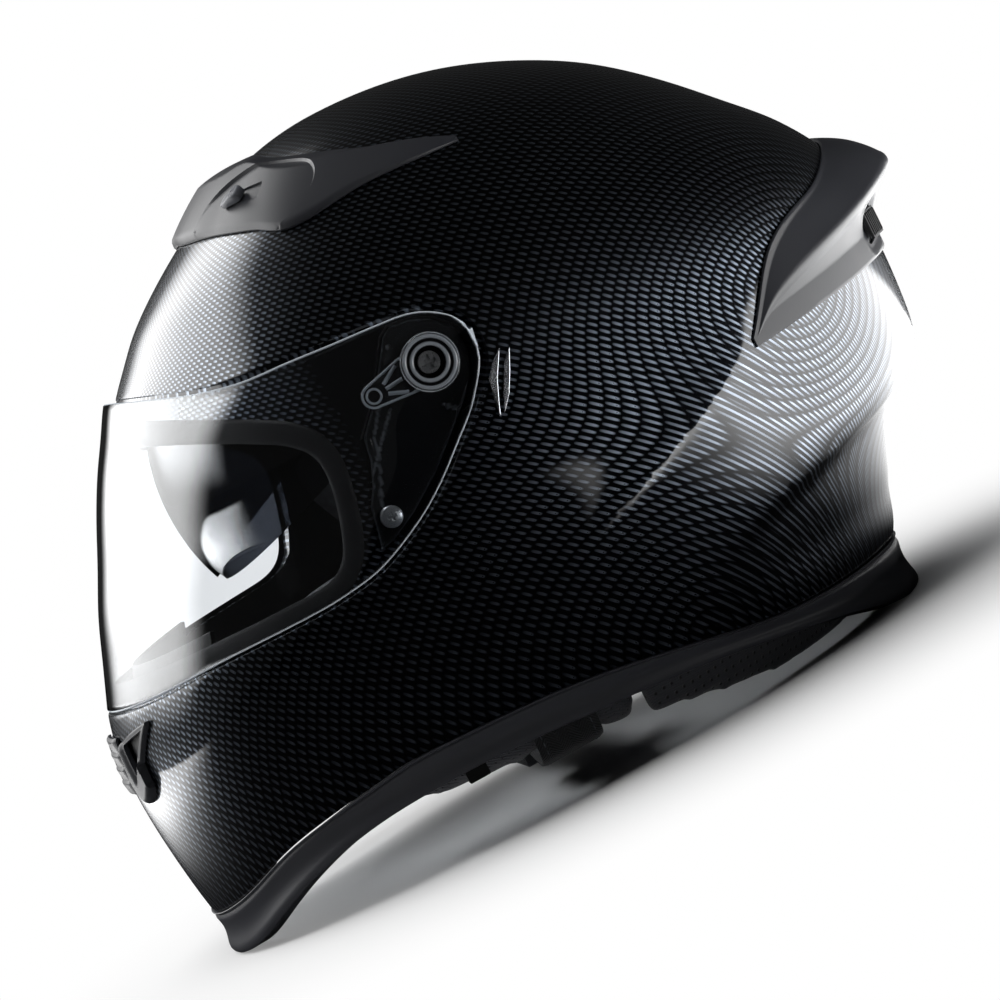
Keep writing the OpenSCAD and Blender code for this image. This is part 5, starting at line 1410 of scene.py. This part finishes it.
def makeSlider(name, sign):
    look = sliderLook
    origin, down, flat, out = surfaceFrame(*browLook["slider"],
        -helmet["seatGap"] * 2 - browLook["height"] + browLook["pocket"])
    wide, length, high = browLook["sliderSize"]
    t = np.arange(look["steps"]) * 2 * math.pi / look["steps"]
    c, s = (np.sign(v) * np.abs(v) ** look["squareness"] for v in (np.cos(t), np.sin(t)))
    loops = []
    for shrink, share in sliderRings:
        x, y = (wide / 2 - shrink) * c, length / 2 + (length / 2 - shrink) * s
        top = lerp(look["low"], high + look["proud"], ease((y - 1) / (length - 4)))
        ridges = np.maximum(np.cos(2 * math.pi * (y - look["gripAt"]) / look["gripPitch"]), 0)
        grip = look["grip"] * ridges * bump(y, look["gripFrom"], look["gripTo"], 0.8) * (share > 0.98)
        loops.append(origin + np.outer(x, down) + np.outer(y, flat) + np.outer(top * share + grip, out))
    slider = swept(name, loops, sharp=40)
    return slider if sign > 0 else mirror(slider)


for side, sign in sides.items():
    dress(makeSlider("slider.brow." + side, sign), "brow_" + side, ["brow_slider_" + side],
        finish["slider"])


# Soft pieces: swelled by cloth simulation from a slightly smaller form
padLook = {"pressure": 3.5, "frames": 20, "quality": 4, "round": 95, "flat": 0.22, "fullness": 0.45,
    "margin": 0.03}


def fullness(u, v):  # a pad's thickness across it and up it, as a share of its most
    u, v = (lerp(padLook["margin"], 1 - padLook["margin"], w) for w in (u, v))
    return lerp(padLook["flat"], 1, (np.sin(math.pi * u) * np.sin(math.pi * v)) ** padLook["fullness"])


def linerFace(a, k, d):  # clear of the wall's thickest place nearby
    wall = np.max([wallAt(a + 5 * i, k + 6 * j) for i in (-1, 0, 1) for j in (-1, 0, 1)], axis=0)
    return inset(shellFace, a, k, wall + d)


def padGrid(first, last, cols, rows, low, high, depth, thick):
    u, v = np.meshgrid(np.linspace(0, 1, cols + 1), np.linspace(0, 1, rows + 1))
    a = lerp(first, last, u)
    y = shellFace(a, helmet["lowest"] + 0 * a)[..., 1]
    z = lerp(low(y), high(y), v)
    d = depth(z, y)
    full = thick * fullness(u, v)
    outer, inner = linerFace(a, level(z), d), linerFace(a, level(z), d + full)
    hang = (outer[:1, :, 2] - low(outer[:1, :, 1])) * (1 - v) ** 2  # its lower edge comes down to the line
    outer[..., 2] -= hang
    inner[..., 2] -= hang
    return outer, inner


def coordinates(data):
    co = np.zeros(len(data.vertices) * 3)
    data.vertices.foreach_get("co", co)
    return co.reshape(-1, 3)


def swell(piece, cap, voxel):  # remeshed, blown up a little as cloth, then made a plain mesh
    bpy.context.view_layer.objects.active = piece
    remesh = piece.modifiers.new("remesh", "REMESH")
    remesh.mode = "VOXEL"
    remesh.voxel_size = voxel / 1000
    calm = piece.modifiers.new("calm", "SMOOTH")
    calm.factor, calm.iterations = 0.5, 4
    before = coordinates(takeMesh(piece))
    cloth = piece.modifiers.new("cloth", "CLOTH")
    cloth.settings.use_pressure = True
    cloth.settings.uniform_pressure_force = padLook["pressure"]
    cloth.settings.effector_weights.gravity = 0
    cloth.settings.quality = padLook["quality"]
    cloth.point_cache.frame_end = padLook["frames"]
    for step in range(1, padLook["frames"] + 1):
        bpy.context.scene.frame_set(step)
    move = coordinates(takeMesh(piece)) - before
    bpy.context.scene.frame_set(1)
    size = np.maximum(np.linalg.norm(move, axis=1, keepdims=True), 1e-9)
    move *= np.minimum(1, cap / 1000 / size)
    piece.data.vertices.foreach_set("co", (before + move).ravel())
    finer = piece.modifiers.new("finer", "SUBSURF")
    finer.levels = finer.render_levels = 1
    smooth(takeMesh(piece))
    return piece


def pointsOf(piece):  # in the drawing's millimetres
    return coordinates(piece.data) * 1000 + [0, helmet["originY"], 0]


def giveKnit(piece, middle):  # cloth directions: round the head, and up it
    p = pointsOf(piece) - middle
    u = np.arctan2(p[:, 0], -p[:, 1]) * padLook["round"]
    v = np.arcsin(np.clip(p[:, 2] / np.linalg.norm(p, axis=1), -1, 1)) * padLook["round"]
    made = piece.data.attributes.new("knit", "FLOAT_VECTOR", "POINT")
    made.data.foreach_set("vector", np.column_stack([u, v, 0 * u]).astype(np.float32).ravel())
    return piece


def seamOn(piece, distance, depth, width):  # a sewn seam pulled into the surface where distance is zero
    p = pointsOf(piece)
    normals = np.zeros(p.size)
    piece.data.vertices.foreach_get("normal", normals)
    pull = depth * np.exp(-(distance(p) / width) ** 2)
    piece.data.vertices.foreach_set("co", placed(p - normals.reshape(-1, 3) * pull[:, None]).ravel())
    piece.data.update()


def padLowAt(y):
    return along(padLine, np.clip(y, -110, helmet["rearEnd"]))


neckLook = {"turns": (97.3, 262.7), "columns": 96, "rows": 16, "low": 0.6, "high": 34.5, "inside": 1.0,
    "thick": 18.5, "cap": 1.2, "voxel": 3.4, "seam": 24, "seamWave": 5, "seamDepth": 1.3, "seamWidth": 1.6,
    "middle": (0, 10, 60)}


def makeNeckRoll():
    look = neckLook
    outer, inner = padGrid(*look["turns"], look["columns"], look["rows"], lambda y: padLowAt(y) + look["low"],
        lambda y: padLowAt(y) + look["high"], lambda z, y: helmet["trimWidth"] + look["inside"], look["thick"])
    roll = swell(gridSolid("roll.neck", outer, inner), look["cap"], look["voxel"])

    def seam(p):
        wave = look["seamWave"] * np.cos(np.arctan2(p[:, 0], p[:, 1]) * 3)
        return p[:, 2] - padLowAt(p[:, 1]) - look["seam"] + wave
    seamOn(roll, seam, look["seamDepth"], look["seamWidth"])
    return giveKnit(roll, look["middle"])


cheekLook = {"turns": (58.6, 96.9), "columns": 44, "rows": 36, "high": 95.6, "inside": 0.9, "thick": 23.8,
    "step": (2, -46, -14, 6), "low": -0.2, "deepInset": 6, "plainInset": 6.6, "insetFrom": 7, "insetRun": 13,
    "cap": 1.4, "voxel": 3.2, "seamAt": (-47, 62), "seamRadius": 23, "seamStretch": 1.25, "seamDepth": 1.3,
    "seamWidth": 1.5, "middle": (0, 10, 60)}


def makeCheek(name, sign):
    look = cheekLook
    rise, *between = look["step"]

    def depth(z, y):
        share = ease((z - seamAt(y) - look["insetFrom"]) / look["insetRun"])
        return lerp(helmet["trimWidth"] + look["deepInset"], look["plainInset"], share) + look["inside"]
    outer, inner = padGrid(*look["turns"], look["columns"], look["rows"],
        lambda y: padLowAt(y) + rise * bump(y, *between) + look["low"], lambda y: look["high"] + 0 * y,
        depth, look["thick"])
    cheek = swell(gridSolid(name, outer, inner), look["cap"], look["voxel"])
    y0, z0 = look["seamAt"]
    seamOn(cheek, lambda p: np.hypot((p[:, 1] - y0) / look["seamStretch"], p[:, 2] - z0) - look["seamRadius"],
        look["seamDepth"], look["seamWidth"])
    giveKnit(cheek, look["middle"])
    return cheek if sign > 0 else mirror(cheek)


crownLook = {"halfWidth": 93, "halfLength": 108, "y": 14, "top": 216, "room": 2.8, "sideRoom": 1.3,
    "sideBetween": (56, 94, 12), "thickness": 7.4, "step": 3.0, "rows": 34, "low": 25, "high": 86.5, "cap": 0.9,
    "sideDrop": (40, 60, 36), "rearDrop": (20, 112, 30), "channels": 6,
    "voxel": 4.5, "seamDepth": 1.2, "seamWidth": 1.6, "middle": (0, 14, 120)}


def cavity(a, k, d):  # the crown foam's hollow, and the face d inside it
    dome = np.radians(np.maximum(k, 0))
    g = np.where(k > 0, np.cos(dome) ** 0.9, 1 - 0.1 * (k / 60) ** 2)
    z = np.where(k > 0, helmet["middle"] + (crownLook["top"] - d - helmet["middle"]) * np.sin(dome), height(k))
    return np.stack([(crownLook["halfWidth"] - d) * np.sin(np.radians(a)) * g,
        crownLook["y"] - (crownLook["halfLength"] - d) * np.cos(np.radians(a)) * g, z], -1)


def makeCrownPad():
    look = crownLook
    v = np.linspace(0.015, 1, look["rows"])[:, None]
    turns = np.repeat(np.arange(0, 360, look["step"])[None, :], look["rows"], 0)
    b = turn(turns)
    low = look["low"]
    for drop, start, run in (look["sideDrop"], look["rearDrop"]):
        low = low - drop * ease((b - start) / run)
    k = lerp(low, look["high"], v)
    room = look["room"] + look["sideRoom"] * bump(b, *look["sideBetween"])
    full = 0.35 + 0.65 * np.sin(np.radians(20 + 140 * v)) ** 0.5
    full = full * (1 - 0.25 * np.cos(np.radians(look["channels"] / 2 * turns)) ** 2)
    outer, inner = cavity(turns, k, room), cavity(turns, k, room + look["thickness"] * full)
    crown = swell(gridSolid("pad.crown", outer, inner, True), look["cap"], look["voxel"])

    def seams(p):  # sewn channels from the crown down
        x, y = p[:, 0], p[:, 1] - look["y"]
        apart = 360 / look["channels"]
        return ((np.degrees(np.arctan2(x, -y)) + apart / 2) % apart - apart / 2) * np.hypot(x, y) * 0.017
    seamOn(crown, seams, look["seamDepth"], look["seamWidth"])
    return giveKnit(crown, look["middle"])


dress(makeNeckRoll(), "shell", ["neck_roll"], finish["knit"])
for side, sign in sides.items():
    cheek = makeCheek("pad.cheek." + side, sign)
    dress(cheek, "shell", ["cheek_pad_" + side], finish["plush"])
dress(makeCrownPad(), "shell", ["crown_pad"], finish["knit"])
print("pads swelled")


# Nodes whose own shape is right get their finish and rounded edges: width in millimetres and steps
edgeLook = {"weld": 0.000004, "from": 28}
nodeFinish = {
    "crown_foam": ("foam", 0, 0), "chin_foam": ("foam", 1.2, 2), "breath_guard": ("seal", 0.5, 2),
    "pivot_screws": ("steel", 0.18, 2), "sun_visor_pins": ("dark", 0.25, 2),
    "sun_visor_slider": ("dark", 0.4, 2), "sun_visor_cable": ("cable", 0, 0),
    "chin_vent_grilles": ("dark", 0.15, 2), "exhaust_grilles": ("dark", 0.2, 2),
    "side_accents": ("silver", 0.28, 2), "strap_anchors": ("steel", 0.3, 2),
    "buckle_body": ("steel", 0.5, 3), "buckle_pin": ("steel", 0.25, 2), "buckle_lever": ("red", 0.4, 3),
    "buckle_tongue": ("dark", 0.2, 2),
}
for name, (look, bevel, segments) in nodeFinish.items():
    piece = bpy.data.objects[name]
    piece.data.materials.clear()
    piece.data.materials.append(finish[look])
    if bevel:
        weld = piece.modifiers.new("weld", "WELD")
        weld.merge_threshold = edgeLook["weld"]
        edge = piece.modifiers.new("edge", "BEVEL")
        edge.width = bevel / 1000
        edge.segments = segments
        edge.limit_method = "ANGLE"
        edge.angle_limit = math.radians(edgeLook["from"])
        edge.harden_normals = True
print("nodes painted")


# Floor, backdrop and lamps
studio = {"floorSize": 14, "floorZ": -0.0004, "fadeFrom": 0.1, "fadeTo": 0.3, "floor": "#ececec",
    "table": "#1c1c1e", "room": 0.018, "white": (1, 1, 1, 1)}
lamps = {  # place, aim, size, radiance and width of the soft border; low and rear lie on the floor, facing up
    "lamp.front": ((-0.81, -1.04, 0.97), (0, -0.08, 0.15), (2.7, 1.9), 3.5, 0.25),
    "lamp.low": ((-0.62, -0.85, 0.012), (-0.62, -0.85, 1), (1.3, 1.3), 5, 0.25),
    "lamp.rear": ((0.12, 0.75, 0.012), (0.12, 0.75, 1), (1.5, 1.25), 5.2, 0.14),
    "lamp.top": ((0.25, -0.1, 1.5), (0, 0, 0.1), (0.9, 1.6), 4.5, 0.25),
}


def seenDirectly(tree):  # 1 where the camera sees the white, also through the visor, but not by reflection
    path = addNode(tree, "LightPath").outputs
    bounces = addNode(tree, "Math", {0: path["Glossy Depth"], 1: path["Diffuse Depth"]}, operation="ADD")
    straight = addNode(tree, "Math", {0: bounces, 1: 0.5}, operation="LESS_THAN")
    through = addNode(tree, "Math", {0: path["Is Transmission Ray"], 1: straight}, operation="MULTIPLY")
    return addNode(tree, "Math", {0: path["Is Camera Ray"], 1: through}, operation="MAXIMUM")


def makeFloor():
    s, z = studio["floorSize"], studio["floorZ"]
    data = bpy.data.meshes.new("floor")
    data.from_pydata([(-s, -s, z), (s, -s, z), (s, s, z), (-s, s, z)], [], [(0, 1, 2, 3)])
    made, tree, shader, where = newMaterial("paintedFloor")
    feed(shader, {"Base Color": linear(studio["floor"]), "Roughness": 0.9, "Specular IOR Level": 0.1})
    far = addNode(tree, "VectorMath", {0: where}, operation="LENGTH").outputs["Value"]
    fade = addNode(tree, "MapRange", {0: far, 1: studio["fadeFrom"], 2: studio["fadeTo"]},
        interpolation_type="SMOOTHSTEP")
    share = addNode(tree, "Math", {0: fade, 1: seenDirectly(tree)}, operation="MULTIPLY")
    white = addNode(tree, "Emission", {"Color": studio["white"], "Strength": 1.0})
    # Seen in a reflection the floor is dark, as the table of the photograph
    path = addNode(tree, "LightPath").outputs
    table = addNode(tree, "BsdfDiffuse", {"Color": linear(studio["table"])})
    first = addNode(tree, "MixShader", {0: path["Is Glossy Ray"], 1: shader, 2: table})
    mix = addNode(tree, "MixShader", {0: share, 1: first, 2: white})
    feed(tree.nodes["Material Output"], {0: mix})
    data.materials.append(made)
    addObject("floor", data)


def makeWorld():
    world = bpy.data.worlds.new("studio")
    world.use_nodes = True
    tree = world.node_tree
    room = tree.nodes["Background"]
    feed(room, {"Color": studio["white"], "Strength": studio["room"]})
    white = addNode(tree, "Background", {"Color": studio["white"], "Strength": 1.0})
    mix = addNode(tree, "MixShader", {0: seenDirectly(tree), 1: room, 2: white})
    feed(tree.nodes["World Output"], {0: mix})
    bpy.context.scene.world = world


def softBox(name, place, aim, size, radiance, fade):  # brightest in the middle, with soft borders
    data = bpy.data.lights.new(name, "AREA")
    data.shape = "RECTANGLE"
    data.size, data.size_y = size
    data.energy = radiance * math.pi * size[0] * size[1]
    data.use_nodes = True
    tree = data.node_tree
    where = addNode(tree, "NewGeometry").outputs["Parametric"]
    split = addNode(tree, "SeparateXYZ", {0: where}).outputs
    shares = []
    for axis in (0, 1):
        off = addNode(tree, "Math", {0: split[axis], 1: 0.5}, operation="SUBTRACT")
        far = addNode(tree, "Math", {0: off}, operation="ABSOLUTE")
        shares.append(addNode(tree, "MapRange", {0: far, 1: 0.5, 2: 0.5 - fade}, interpolation_type="SMOOTHSTEP"))
    both = addNode(tree, "Math", dict(enumerate(shares)), operation="MULTIPLY")
    feed(tree.nodes["Emission"], {"Strength": both})
    lamp = addObject(name, data)
    facing = (Vector(place) - Vector(aim)).to_track_quat("Z", "Y")
    lamp.matrix_world = Matrix.Translation(place) @ facing.to_matrix().to_4x4()
    lamp.visible_camera = False
    return lamp


makeFloor()
makeWorld()
for name, look in lamps.items():
    lamp = softBox(name, *look)
    lamp.visible_glossy = name != "lamp.top"
print("studio lit")
